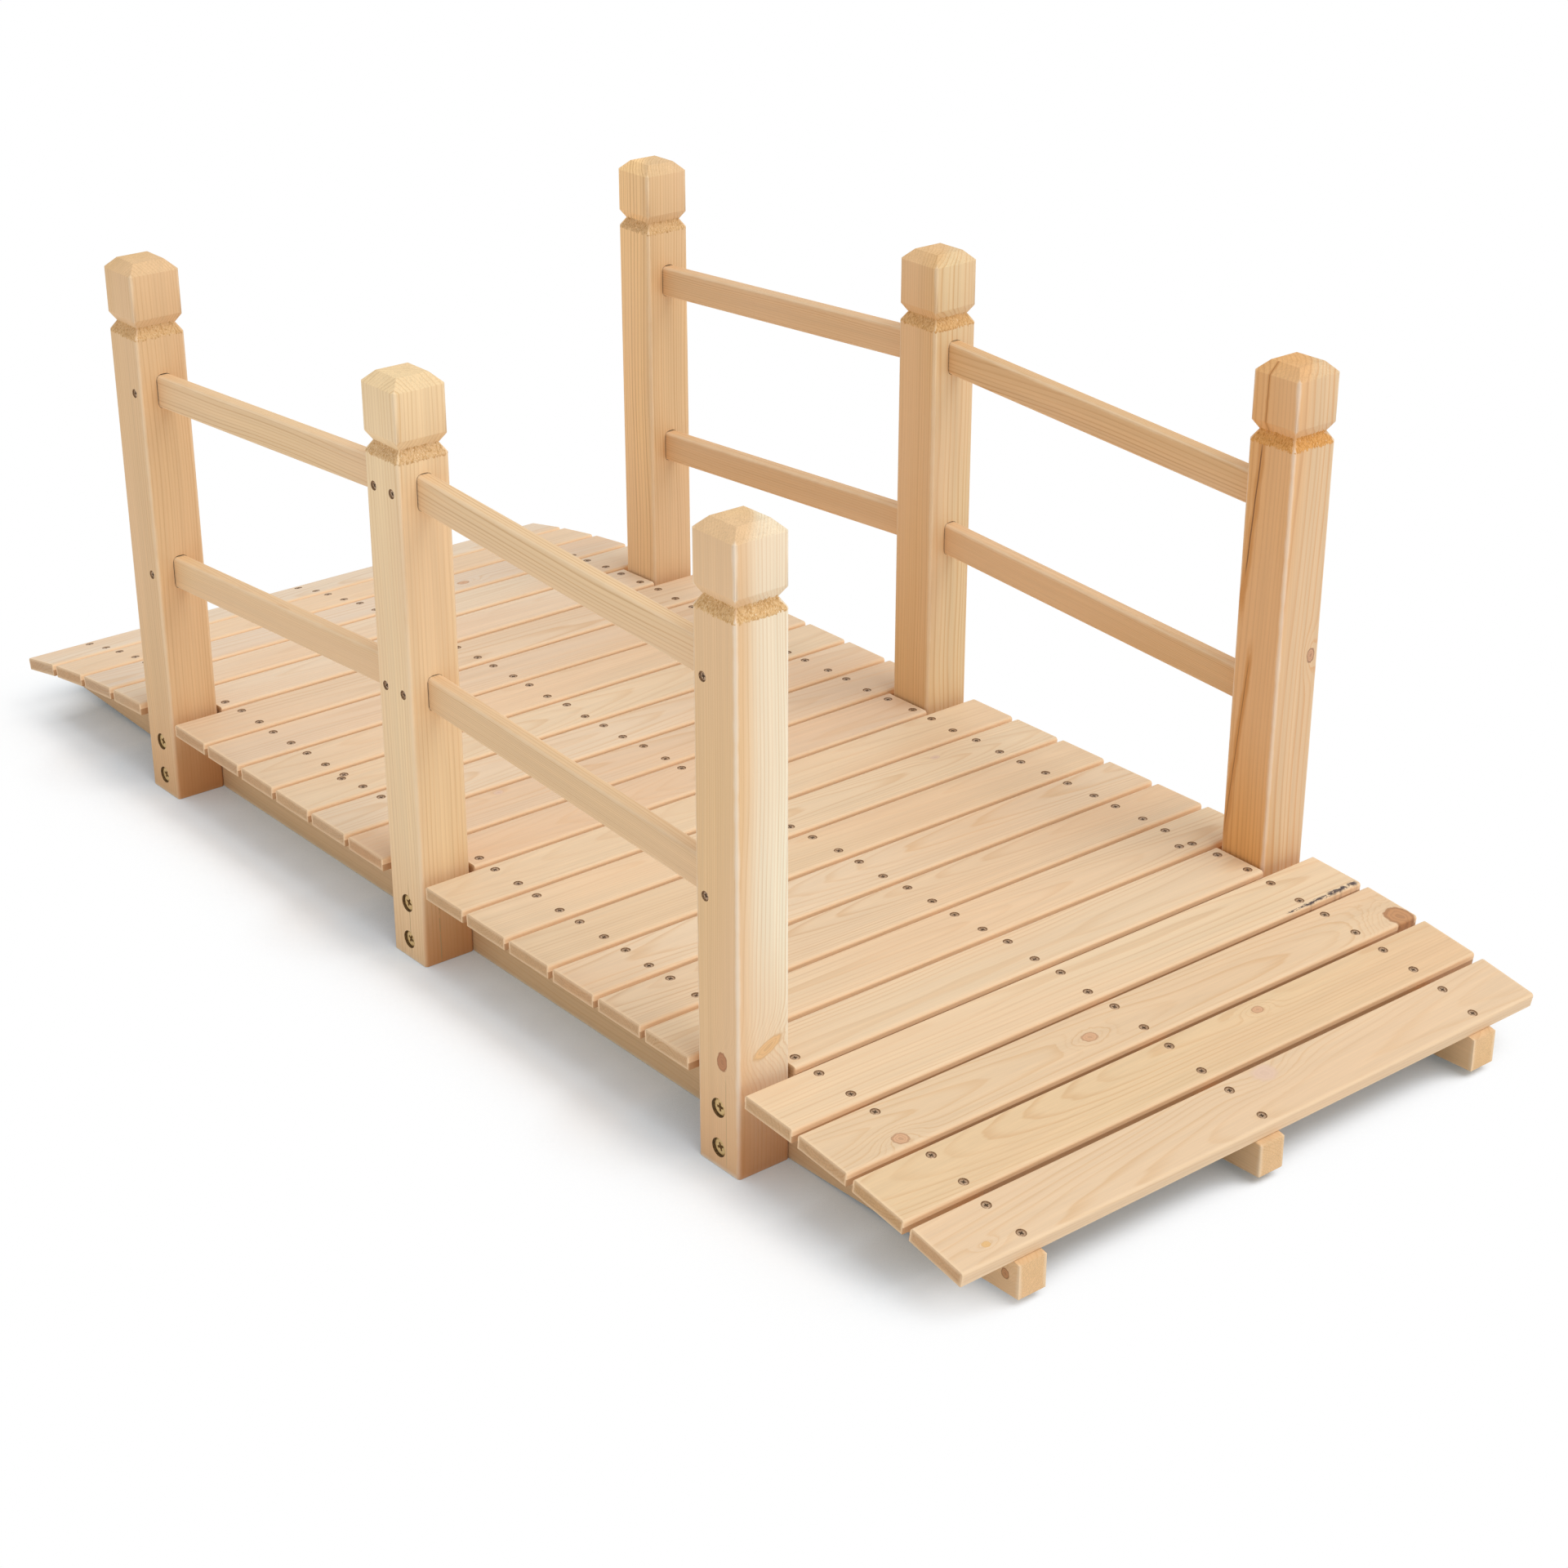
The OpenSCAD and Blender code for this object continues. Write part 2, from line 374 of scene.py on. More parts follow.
def grain_group():
    """Growth rings round a pith that lies along Z, with fibres and a slow drift of colour."""
    tree, given, result = new_group(
        "Softwood grain",
        [("Vector", "Vector"), ("Seed", "Float"), ("Lift", "Float"), ("Spacing", "Float"),
         ("Contrast", "Float"), ("Early", "Color"), ("Late", "Color"), ("Blush", "Color"),
         ("Sap", "Color"), ("Heart", "Float")],
        [("Color", "Color"), ("Height", "Float"), ("Roughness", "Float")])
    place = seeded(tree, given["Vector"], given["Seed"])
    wander = vectors(tree, "SUBTRACT", noise_at(tree, place, WANDER_WAVES, 2.0)["Color"], HALF_GREY)
    bent = vectors(tree, "ADD", given["Vector"], scaled(tree, wander, WANDER))
    radius = length_of(tree, vectors(tree, "MULTIPLY", bent, (1, 1, 0)))
    ragged = centred(tree, noise_at(tree, place, RAGGED_WAVES)[0], RAGGED)
    rings = maths(tree, "DIVIDE", maths(tree, "ADD", radius, given["Lift"]), given["Spacing"])
    slow = seeded(tree, scaled(tree, YEAR_WAY, rings), given["Seed"])
    years = centred(tree, noise_at(tree, slow, (1, 1, 1))[0], YEARS)
    phase = maths(tree, "ADD", maths(tree, "ADD", rings, ragged), years)
    part = maths(tree, "FRACT", phase)
    ring_no = maths(tree, "ADD", maths(tree, "FLOOR", phase), given["Seed"])
    each = add_node(tree, "TexWhiteNoise", {"W": ring_no}, noise_dimensions="1D").outputs["Value"]
    strength = maths(tree, "MULTIPLY_ADD", each, *RING_STRENGTH)
    late = maths(tree, "MULTIPLY", step(tree, part, *LATE_RISE), step(tree, part, *LATE_FALL))
    late = maths(tree, "MULTIPLY", late, strength)
    fibre = noise_at(tree, place, FIBRE_WAVES, 2.0)[0]
    band = noise_at(tree, place, BAND_WAVES)[0]
    drift = noise_at(tree, place, DRIFT_WAVES)[0]
    outside = maths(tree, "SUBTRACT", radius, given["Heart"])
    early = blend(tree, step(tree, outside, 0.0, SAP_FADE), given["Early"], given["Sap"])
    colour = blend(tree, maths(tree, "MULTIPLY", late, given["Contrast"]), early, given["Late"])
    blushing = maths(tree, "MULTIPLY", step(tree, drift, *BLUSH_RANGE), BLUSH_SHARE)
    colour = blend(tree, blushing, colour, given["Blush"])
    light = maths(tree, "ADD", centred(tree, fibre, FIBRE_SHADE), centred(tree, band, BAND_SHADE))
    feed(tree, result["Color"], scaled(tree, colour, maths(tree, "ADD", light, 1.0)))
    feed(tree, result["Height"], maths(tree, "ADD", fibre, maths(tree, "MULTIPLY", late, LATE_HEIGHT)))
    feed(tree, result["Roughness"], maths(tree, "MULTIPLY_ADD", fibre, *FIBRE_ROUGH))


def end_grain_group():
    """Tints wood where it is cut across its grain, with open pores."""
    tree, given, result = new_group(
        "End grain",
        [("Vector", "Vector"), ("Normal", "Vector"), ("Color", "Color"), ("Tint", "Color")],
        [("Color", "Color"), ("Mask", "Float")])
    facing = maths(tree, "ABSOLUTE", split(tree, given["Normal"])["Z"])
    mask = step(tree, facing, 0.45, 0.85)
    pores = noise_at(tree, given["Vector"], (900, 900, 300), 2.0)[0]
    tinted = blend(tree, 1.0, given["Color"], given["Tint"], "MULTIPLY")
    tinted = scaled(tree, tinted, maths(tree, "MULTIPLY_ADD", pores, 0.5, 0.75))
    feed(tree, result["Color"], blend(tree, mask, given["Color"], tinted))
    feed(tree, result["Mask"], mask)


def edge_group():
    """Mask of a timber's long and short edges, of uneven width, where the painted highlight lies."""
    tree, given, result = new_group(
        "Eased edge",
        [("Vector", "Vector"), ("Half Size", "Vector"), ("Width", "Float")], [("Mask", "Float")])
    off = vectors(tree, "ABSOLUTE", given["Vector"])
    room = split(tree, vectors(tree, "SUBTRACT", given["Half Size"], off))
    lower = maths(tree, "MINIMUM", room["X"], room["Y"])
    upper = maths(tree, "MAXIMUM", room["X"], room["Y"])
    middle = maths(tree, "MAXIMUM", lower, maths(tree, "MINIMUM", upper, room["Z"]))
    uneven = maths(tree, "MULTIPLY_ADD", noise_at(tree, given["Vector"], (45, 45, 45), 2.0)[0], 1.2, 0.4)
    feed(tree, result["Mask"], step(tree, middle, maths(tree, "MULTIPLY", given["Width"], uneven), 0.0))


def knot_group():
    """A knot of radius 1 round local Z: its face, its dark parts and the bulge of the grain round it."""
    tree, given, result = new_group(
        "Knot", [("Vector", "Vector"), ("Soft", "Float")],
        [("Mask", "Float"), ("Shade", "Float"), ("Halo", "Float")])
    uneven = noise_at(tree, given["Vector"], (1.4, 1.4, 0.2), 2.0)["Color"]
    wobble = vectors(tree, "SUBTRACT", uneven, HALF_GREY)
    bent = vectors(tree, "ADD", given["Vector"], scaled(tree, wobble, 0.55))
    reach = length_of(tree, vectors(tree, "MULTIPLY", bent, (1, 1, 0)))
    depth = step(tree, maths(tree, "ABSOLUTE", split(tree, given["Vector"])["Z"]), 1.0, 0.8)
    inside = maths(tree, "MULTIPLY_ADD", given["Soft"], -0.65, 0.90)
    mask = maths(tree, "MULTIPLY", step(tree, reach, 1.08, inside), depth)
    rings = step(tree, maths(tree, "FRACT", maths(tree, "MULTIPLY", reach, 3.6)), 0.35, 0.9)
    heart = step(tree, reach, 0.34, 0.08)
    rim = maths(tree, "MULTIPLY", step(tree, reach, 0.70, 0.94), step(tree, reach, 1.12, 0.98))
    dark = maths(tree, "ADD", maths(tree, "MULTIPLY", rings, 0.30), maths(tree, "MULTIPLY", heart, 0.35))
    feed(tree, result["Mask"], mask)
    feed(tree, result["Shade"], maths(tree, "ADD", dark, maths(tree, "MULTIPLY", rim, 0.6), clamp=True))
    drawn = length_of(tree, vectors(tree, "MULTIPLY", bent, (0.62, 0.34, 0)))
    spread = maths(tree, "POWER", drawn, 2.0)
    halo = maths(tree, "EXPONENT", maths(tree, "MULTIPLY", spread, -1.0))
    feed(tree, result["Halo"], maths(tree, "MULTIPLY", halo, depth))


# How softly a streak breaks off
BREAK_SOFT = 0.07


def streak_group():
    """A wandering dark line along local Z, of half width 1 and half length 1, broken as asked."""
    tree, given, result = new_group(
        "Streak", [("Vector", "Vector"), ("Seed", "Float"), ("Broken", "Float")], [("Mask", "Float")])
    place = seeded(tree, given["Vector"], given["Seed"])
    sway = centred(tree, noise_at(tree, place, (0, 0, 2.6), 2.0)[0], 1.4)
    parts = split(tree, given["Vector"])
    body = step(tree, maths(tree, "ABSOLUTE", maths(tree, "ADD", parts["X"], sway)), 1.0, 0.3)
    ends = step(tree, maths(tree, "ABSOLUTE", parts["Z"]), 1.0, 0.7)
    depth = step(tree, maths(tree, "ABSOLUTE", parts["Y"]), 1.0, 0.8)
    grit = noise_at(tree, place, (1.3, 0.2, 6), 2.0)[0]
    gone = maths(tree, "SUBTRACT", given["Broken"], BREAK_SOFT)
    there = maths(tree, "ADD", given["Broken"], BREAK_SOFT)
    line = maths(tree, "MULTIPLY", body, ends)
    held = maths(tree, "MULTIPLY", depth, step(tree, grit, gone, there))
    feed(tree, result["Mask"], maths(tree, "MULTIPLY", line, held))


# Where the painted warm bounce light on a slat's arris and the painted shade below it in the gap start and
# are full: in from its side, and below its top
PAINTED_BOUNCE_ROOM = (2.5 * MM, 0.8 * MM)
PAINTED_BOUNCE_UNDER = (0.3 * MM, 2.2 * MM)
PAINTED_SHADE_ROOM = (1.6 * MM, 0.3 * MM)
PAINTED_SHADE_UNDER = (5.9 * MM, 6.7 * MM)


def gap_group():
    """Masks of a slat's side where it faces its neighbour: painted warm bounce light on its arris, and
    painted shade below it.
    """
    tree, given, result = new_group(
        "Slat gap painted light", [("Vector", "Vector"), ("Half Size", "Vector"), ("Side", "Float")],
        [("Warm", "Float"), ("Dark", "Float")])
    place, half = split(tree, given["Vector"]), split(tree, given["Half Size"])
    room = maths(tree, "SUBTRACT", half["X"], maths(tree, "MULTIPLY", place["X"], given["Side"]))
    under = maths(tree, "SUBTRACT", half["Z"], place["Z"])
    for label, inwards, down in (("Warm", PAINTED_BOUNCE_ROOM, PAINTED_BOUNCE_UNDER), ("Dark", PAINTED_SHADE_ROOM, PAINTED_SHADE_UNDER)):
        mask = maths(tree, "MULTIPLY", step(tree, room, *inwards), step(tree, under, *down))
        feed(tree, result[label], mask)


def foot_shade_group():
    """Mask of the painted shade at a post's foot, strongest on the faces beside the slats, with an uneven
    upper edge.
    """
    tree, given, result = new_group(
        "Painted foot shade",
        [("Vector", "Vector"), ("Normal", "Vector"), ("Height", "Float")], [("Mask", "Float")])
    uneven = maths(tree, "MULTIPLY_ADD", noise_at(tree, given["Vector"], (60, 60, 6), 2.0)[0], 0.6, 0.7)
    reach = maths(tree, "MULTIPLY", given["Height"], uneven)
    low = step(tree, split(tree, given["Vector"])["Z"], reach, 0.0)
    beside = maths(tree, "ABSOLUTE", split(tree, given["Normal"])["X"])
    share = maths(tree, "MULTIPLY_ADD", beside, 0.65, 0.35)
    feed(tree, result["Mask"], maths(tree, "MULTIPLY", low, share))


BRUISE = (0.57, 0.33, 0.135, 1)
TUFT = (0.77, 0.51, 0.265, 1)
FLECK = (0.87, 0.67, 0.43, 1)


def torn_group():
    """Torn fibres: pale tufts and orange bruises, drawn out upright."""
    tree, given, result = new_group(
        "Torn fibres", [("Vector", "Vector"), ("Tint", "Color")],
        [("Color", "Color"), ("Roughness", "Float"), ("Height", "Float")])
    tufts = noise_at(tree, given["Vector"], (620, 620, 110), 2.0)[0]
    flecks = noise_at(tree, given["Vector"], (1500, 1500, 240), 2.0)[0]
    colour = blend(tree, step(tree, tufts, 0.32, 0.62), BRUISE, TUFT)
    colour = blend(tree, step(tree, flecks, 0.50, 0.72), colour, FLECK)
    feed(tree, result["Color"], blend(tree, 1.0, colour, given["Tint"], "MULTIPLY"))
    feed(tree, result["Roughness"], maths(tree, "MULTIPLY_ADD", tufts, 0.2, 0.75))
    feed(tree, result["Height"], flecks)


def metal_group():
    """Plated metal: fine scuffs and a dull film gathered in patches."""
    tree, given, result = new_group(
        "Plated metal", [("Vector", "Vector"), ("Color", "Color"), ("Film", "Color")],
        [("Color", "Color"), ("Roughness", "Float"), ("Height", "Float")])
    patches = step(tree, noise_at(tree, given["Vector"], (420, 420, 420), 3.0)[0], 0.42, 0.68)
    scuffs = noise_at(tree, given["Vector"], (2600, 2600, 500), 2.0)[0]
    colour = blend(tree, maths(tree, "MULTIPLY", patches, 0.65), given["Color"], given["Film"])
    feed(tree, result["Color"], scaled(tree, colour, maths(tree, "MULTIPLY_ADD", scuffs, 0.4, 0.8)))
    feed(tree, result["Roughness"], maths(tree, "MULTIPLY_ADD", patches, 0.25, 0.30))
    feed(tree, result["Height"], scuffs)


GROUPS = (
    grain_group, end_grain_group, edge_group, knot_group, streak_group, gap_group, foot_shade_group, torn_group,
    metal_group)


def new_material(name):
    """A material with its Principled shader, and the Object coordinates that it reads."""
    material = bpy.data.materials.new(name)
    material.use_nodes = True
    tree = material.node_tree
    tree.nodes.clear()
    shader = add_node(tree, "BsdfPrincipled")
    add_node(tree, "OutputMaterial", {"Surface": shader.outputs["BSDF"]})
    return material, tree, shader, add_node(tree, "TexCoord").outputs


def bump(tree, shader, height, strength, distance):
    """Gives a shader fine relief."""
    made = add_node(tree, "Bump", {"Height": height, "Strength": strength, "Distance": distance})
    feed(tree, shader.inputs["Normal"], made.outputs["Normal"])


def seen_from(tree, vector, place=(0, 0, 0), turn=(0, 0, 0), size=(1, 1, 1)):
    """A vector as seen from a place that is turned and sized."""
    made = add_node(
        tree, "Mapping", {"Vector": vector, "Location": place, "Rotation": turn, "Scale": size},
        vector_type="TEXTURE")
    return made.outputs["Vector"]


# Turns that carry local Z to each axis of the bridge
ALONG = {
    "X": Matrix.Rotation(math.radians(90), 3, "Y"),
    "Y": Matrix.Rotation(math.radians(-90), 3, "X"),
    "Z": Matrix.Identity(3),
}
# Turns of a mark that goes into the wood along each axis, with its local Y along an upright's grain
INTO = {
    "X": Matrix(((0, 0, 1), (1, 0, 0), (0, 1, 0))),
    "Y": ALONG["Y"],
    "Z": Matrix.Identity(3),
}


def face_turn(axis, spin):
    """Turn of a mark that goes into the wood along an axis and is spun about it."""
    return (Matrix.Rotation(spin, 3, axis) @ INTO[axis]).to_euler()


KNOT_DARK = (0.16, 0.065, 0.03, 1)
# How far the rings bulge round a knot, in its half sizes
KNOT_LIFT = 2.0
# Painted warm bounce light and painted shade in the gaps of the deck, painted shade at the posts' feet, and
# the most that each covers
GAP_PAINTED_BOUNCE = (1.0, 0.71, 0.44, 1)
GAP_PAINTED_BOUNCE_SHARE = 0.85
GAP_PAINTED_SHADE = (0.44, 0.21, 0.08, 1)
GAP_PAINTED_SHADE_SHARE = 0.72
FOOT_PAINTED_SHADE = (0.63, 0.25, 0.072, 1)
FOOT_SHADE_SHARE = 0.75
# Gloss of planed wood and of torn fibres
WOOD_SPECULAR = 0.3
TORN_SPECULAR = 0.1
# Strength and depth of the fine relief of each material
WOOD_RELIEF = (0.35, 0.25 * MM)
TORN_RELIEF = (0.5, 0.3 * MM)
METAL_RELIEF = (0.2, 0.05 * MM)
GRIT_RELIEF = (0.4, 0.2 * MM)


def timber_material(name, finish, grain, seed, marks=()):
    """Softwood for one timber, with its own rings, fibres, end grain, worn edges and marks."""
    material, tree, shader, seen = new_material(name)
    along = seen_from(tree, seen["Object"], grain.pith, grain.turn)
    facing = seen_from(tree, seen["Normal"], turn=grain.turn)
    knots = [mark for mark in marks if isinstance(mark, Knot)]
    lift = 0.0
    faces = []
    for knot in knots:
        local = seen_from(tree, seen["Object"], knot.place, face_turn(knot.axis, knot.spin), knot.half)
        face = use_group(tree, "Knot", {"Vector": local, "Soft": knot.soft})
        faces.append(face)
        bulge = maths(tree, "MULTIPLY", face["Halo"], KNOT_LIFT * (1 - knot.soft) * min(knot.half[:2]))
        lift = maths(tree, "ADD", bulge, lift)
    wood = use_group(tree, "Softwood grain", {
        "Vector": along, "Seed": seed, "Lift": lift, "Spacing": finish["spacing"],
        "Contrast": finish["contrast"], "Early": finish["early"], "Late": finish["late"],
        "Blush": finish["blush"], "Sap": finish["sap"], "Heart": finish["heart"]})
    cut = use_group(tree, "End grain", {
        "Vector": along, "Normal": facing, "Color": wood["Color"], "Tint": finish["end"]})
    boxed = seen_from(tree, seen["Object"], grain.middle, grain.slope)
    edge = use_group(tree, "Eased edge", {
        "Vector": boxed, "Half Size": grain.half, "Width": finish["edge_width"]})
    # Painted highlight along the timber's eased edges
    edge_highlight = maths(tree, "MULTIPLY", edge["Mask"], finish["edge_share"])
    colour = blend(tree, edge_highlight, cut["Color"], finish["edge"])
    # Painted warm bounce light and painted shade on the slats' sides inside the deck's gaps
    for side in finish["gap_sides"]:
        gap = use_group(tree, "Slat gap painted light", {"Vector": boxed, "Half Size": grain.half, "Side": side})
        colour = blend(tree, maths(tree, "MULTIPLY", gap["Warm"], GAP_PAINTED_BOUNCE_SHARE), colour, GAP_PAINTED_BOUNCE)
        colour = blend(tree, maths(tree, "MULTIPLY", gap["Dark"], GAP_PAINTED_SHADE_SHARE), colour, GAP_PAINTED_SHADE)
    # Painted shade at the posts' feet, darkest on the faces that the slats shade
    if finish["foot"]:
        foot_shade = use_group(tree, "Painted foot shade", {
            "Vector": seen["Object"], "Normal": seen["Normal"], "Height": finish["foot"]})
        colour = blend(tree, maths(tree, "MULTIPLY", foot_shade["Mask"], FOOT_SHADE_SHARE), colour, FOOT_PAINTED_SHADE)
    for knot, face in zip(knots, faces):
        shaded = blend(tree, maths(tree, "MULTIPLY", face["Shade"], knot.dark), knot.tone, KNOT_DARK)
        colour = blend(tree, face["Mask"], colour, shaded)
    for number, streak in enumerate(mark for mark in marks if isinstance(mark, Streak)):
        turn = Matrix.Rotation(streak.lean, 3, "Y") @ ALONG[streak.axis]
        local = seen_from(tree, seen["Object"], streak.place, turn.to_euler(), streak.half)
        line = use_group(tree, "Streak", {"Vector": local, "Seed": number + seed, "Broken": streak.broken})
        colour = blend(tree, line["Mask"], colour, streak.tone)
    feed(tree, shader.inputs["Base Color"], colour)
    rough = maths(tree, "MULTIPLY_ADD", cut["Mask"], 0.2, wood["Roughness"])
    feed(tree, shader.inputs["Roughness"], rough)
    shader.inputs["Specular IOR Level"].default_value = WOOD_SPECULAR
    bump(tree, shader, wood["Height"], *WOOD_RELIEF)
    return material


def metal_material(name, colour, film, metallic):
    """Plated steel or brass for screws and bolts."""
    material, tree, shader, seen = new_material(name)
    metal = use_group(tree, "Plated metal", {"Vector": seen["Object"], "Color": colour, "Film": film})
    feed(tree, shader.inputs["Base Color"], metal["Color"])
    feed(tree, shader.inputs["Roughness"], metal["Roughness"])
    shader.inputs["Metallic"].default_value = metallic
    bump(tree, shader, metal["Height"], *METAL_RELIEF)
    return material


def recess_shade_material(name, dark, pale, scale, roughness):
    """Painted shade in two dark tones, for the walls of screw seats, recesses and mortise mouths, and for
    cross recesses.
    """
    material, tree, shader, seen = new_material(name)
    grit = noise_at(tree, seen["Object"], (scale, scale, scale), 3.0)[0]
    feed(tree, shader.inputs["Base Color"], blend(tree, step(tree, grit, 0.35, 0.65), dark, pale))
    shader.inputs["Roughness"].default_value = roughness
    bump(tree, shader, grit, *GRIT_RELIEF)
    return material


# Mesh building


def packed_timber(node):
    """A packed timber's mesh with its triangles merged and its flat faces made whole."""
    bm = bmesh.new()
    bm.from_mesh(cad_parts[node].data)
    bmesh.ops.remove_doubles(bm, verts=bm.verts, dist=MERGE)
    bmesh.ops.dissolve_limit(bm, angle_limit=FLAT, verts=bm.verts, edges=bm.edges)
    return bm


# Steps of a rounded corner, on slats and on runners
ARRIS_STEPS = 4
RUNNER_ARRIS_STEPS = 3


def ease_arrises(bm, width, steps):
    """Rounds the square corners of a timber."""
    corners = [edge for edge in bm.edges if edge.is_manifold and edge.calc_face_angle() > SHARP]
    bmesh.ops.bevel(
        bm, geom=corners, offset=width, offset_type="OFFSET", segments=steps, profile=0.5,
        affect="EDGES", clamp_overlap=True, material=-1)


def new_object(bm, name, materials):
    """Turns a bmesh into an object whose place is in its mesh."""
    mesh = bpy.data.meshes.new(name)
    bm.to_mesh(mesh)
    bm.free()
    for material in materials:
        mesh.materials.append(material)
    made = bpy.data.objects.new(name, mesh)
    bpy.context.scene.collection.objects.link(made)
    return made


def finish_piece(bm, name, materials):
    """Makes a smooth shaded piece that rides on the bridge."""
    made = new_object(bm, name, materials)
    made.data.shade_smooth()
    made.data.set_sharp_from_angle(angle=SMOOTH)
    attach(made, BODY)
    return made


def flat_faces(piece):
    """Keeps a timber's broad faces flat to the eye beside their rounded edges."""
    flat = piece.modifiers.new("flat faces", "WEIGHTED_NORMAL")
    flat.weight = 100
    flat.keep_sharp = True


def cut_seats(bm, cutter):
    """Cuts a timber with a second mesh and returns what is left."""
    timber = new_object(bm, "uncut", [])
    tool = new_object(cutter, "cutter", [])
    seats = timber.modifiers.new("seats", "BOOLEAN")
    seats.operation = "DIFFERENCE"
    seats.solver = "EXACT"
    seats.object = tool
    done = timber.evaluated_get(bpy.context.evaluated_depsgraph_get())
    result = bmesh.new()
    result.from_mesh(done.data)
    for spent in (timber, tool):
        mesh = spent.data
        bpy.data.objects.remove(spent)
        bpy.data.meshes.remove(mesh)
    return result


def stamp(bm, mesh, place):
    """Adds a copy of a mesh at a place."""
    start = len(bm.verts)
    bm.from_mesh(mesh)
    bm.verts.ensure_lookup_table()
    bmesh.ops.transform(bm, matrix=place, verts=bm.verts[start:])


def standing(place, normal, spin=0.0):
    """Places a shape that was built round Z so that its Z follows a face's normal."""
    turn = Vector(normal).to_track_quat("Z", "Y").to_matrix().to_4x4()
    return Matrix.Translation(place) @ turn @ Matrix.Rotation(spin, 4, "Z")


# Dark and pale tones of the painted shade in the seats and recesses, the scale of their grit, and their
# roughness
SCREW_SEAT_SHADE = ((0.14, 0.07, 0.03, 1), (0.34, 0.19, 0.09, 1), 900, 0.9)
SCREW_CROSS_SHADE = ((0.09, 0.055, 0.03, 1), (0.24, 0.15, 0.085, 1), 2500, 0.7)
BOLT_RECESS_SHADE = ((0.11, 0.06, 0.02, 1), (0.22, 0.125, 0.045, 1), 700, 0.9)
BOLT_CROSS_SHADE = ((0.17, 0.085, 0.026, 1), (0.38, 0.22, 0.075, 1), 1500, 0.8)
# Dull films on the metals, and how much bare metal shows through
STEEL_FILM = (0.26, 0.145, 0.075, 1)
STEEL_METALLIC = 0.25
BRASS_FILM = (0.58, 0.365, 0.125, 1)
BRASS_METALLIC = 0.1

# Slack in finding the walls of a seat or a mouth, and the skin of wood that stays as it is
WALL_SLACK = 0.1 * MM
WALL_SKIN = 0.02 * MM
FACE_SKIN = 0.05 * MM
DEPTH_SLACK = 1.1
# Slots of the painted shade in the seats and recesses of a timber, and in the cross of a head
SEAT_SLOT = 1
RECESS_SLOT = 2
CROSS_SLOT = 1
SEAT_STEPS = 20
SEAT_DEPTH = 3.2 * MM
SEAT_RISE = 0.5 * MM
SEAT_BLUNT_SHARE = 0.35


def seat_cutter(seats, diameter):
    """Countersinks for screws at places with their normals, a little proud of the face."""
    bm = bmesh.new()
    bottom, top = SEAT_BLUNT_SHARE * diameter / 2, diameter / 2
    proud = top + (top - bottom) / SEAT_DEPTH * SEAT_RISE
    rise = Matrix.Translation((0, 0, (SEAT_RISE - SEAT_DEPTH) / 2))
    for place, normal in seats:
        bmesh.ops.create_cone(
            bm, cap_ends=True, segments=SEAT_STEPS, radius1=bottom, radius2=proud,
            depth=SEAT_DEPTH + SEAT_RISE, matrix=standing(place, normal) @ rise)
    bmesh.ops.recalc_face_normals(bm, faces=bm.faces)
    return bm


def darken_seats(bm, seats, diameter, depth, material=SEAT_SLOT):
    """Gives the walls of countersinks and recesses the painted shade of their own material."""
    for face in bm.faces:
        middle = face.calc_center_median()
        for place, normal, *_ in seats:
            off = middle - place
            under = off.dot(normal)
            beside = (off - under * normal).length
            if beside < diameter / 2 + WALL_SLACK and -depth * DEPTH_SLACK < under < -WALL_SKIN:
                face.material_index = material


CROSS_STEPS = 12
CROSS_HUB_SHARE = 0.46
CROSS_FLOOR_SHARE = 0.55
RIM_RISE_SHARE = 0.6


def cross_head(radius, rim, cross, cross_depth, shank, shank_depth):
    """A flat head with an eased rim, a tapered cross recess and a neck below it."""
    bm = bmesh.new()
    corner = Matrix.Rotation(math.pi / CROSS_STEPS, 4, "Z")
    bmesh.ops.create_circle(bm, cap_ends=True, segments=CROSS_STEPS, radius=radius, matrix=corner)
    top = bm.faces[:]
    bmesh.ops.inset_region(bm, faces=top, thickness=rim, depth=rim * RIM_RISE_SHARE, use_boundary=True)
    bmesh.ops.inset_region(bm, faces=top, thickness=radius - rim - cross)
    hub = [v for v in top[0].verts if abs(abs(v.co.x) - abs(v.co.y)) < 0.1 * cross]
    bmesh.ops.scale(bm, vec=(CROSS_HUB_SHARE, CROSS_HUB_SHARE, 1), verts=hub)
    sunk = bmesh.ops.extrude_face_region(bm, geom=top)["geom"]
    bmesh.ops.delete(bm, geom=top, context="FACES_ONLY")
    floor = [part for part in sunk if isinstance(part, bmesh.types.BMVert)]
    bmesh.ops.translate(bm, vec=(0, 0, -cross_depth), verts=floor)
    bmesh.ops.scale(bm, vec=(CROSS_FLOOR_SHARE, CROSS_FLOOR_SHARE, 1), verts=floor)
    for face in {face for vert in floor for face in vert.link_faces}:
        face.material_index = CROSS_SLOT
    outer = [edge for edge in bm.edges if edge.is_boundary]
    neck = bmesh.ops.extrude_edge_only(bm, edges=outer)["geom"]
    lower = [part for part in neck if isinstance(part, bmesh.types.BMVert)]
    bmesh.ops.translate(bm, vec=(0, 0, -shank_depth), verts=lower)
    bmesh.ops.scale(bm, vec=(shank / radius, shank / radius, 1), verts=lower)
    bmesh.ops.contextual_create(bm, geom=lower)
    bmesh.ops.recalc_face_normals(bm, faces=bm.faces)
    mesh = bpy.data.meshes.new("cross head")
    bm.to_mesh(mesh)
    bm.free()
    return mesh


# Timbers

# How much of a timber's own shift its red and its green take
RED_SHARE = 0.6
GREEN_SHARE = 0.3
# Range of the seeds of the timbers' noise
SEEDS = (1, 40)


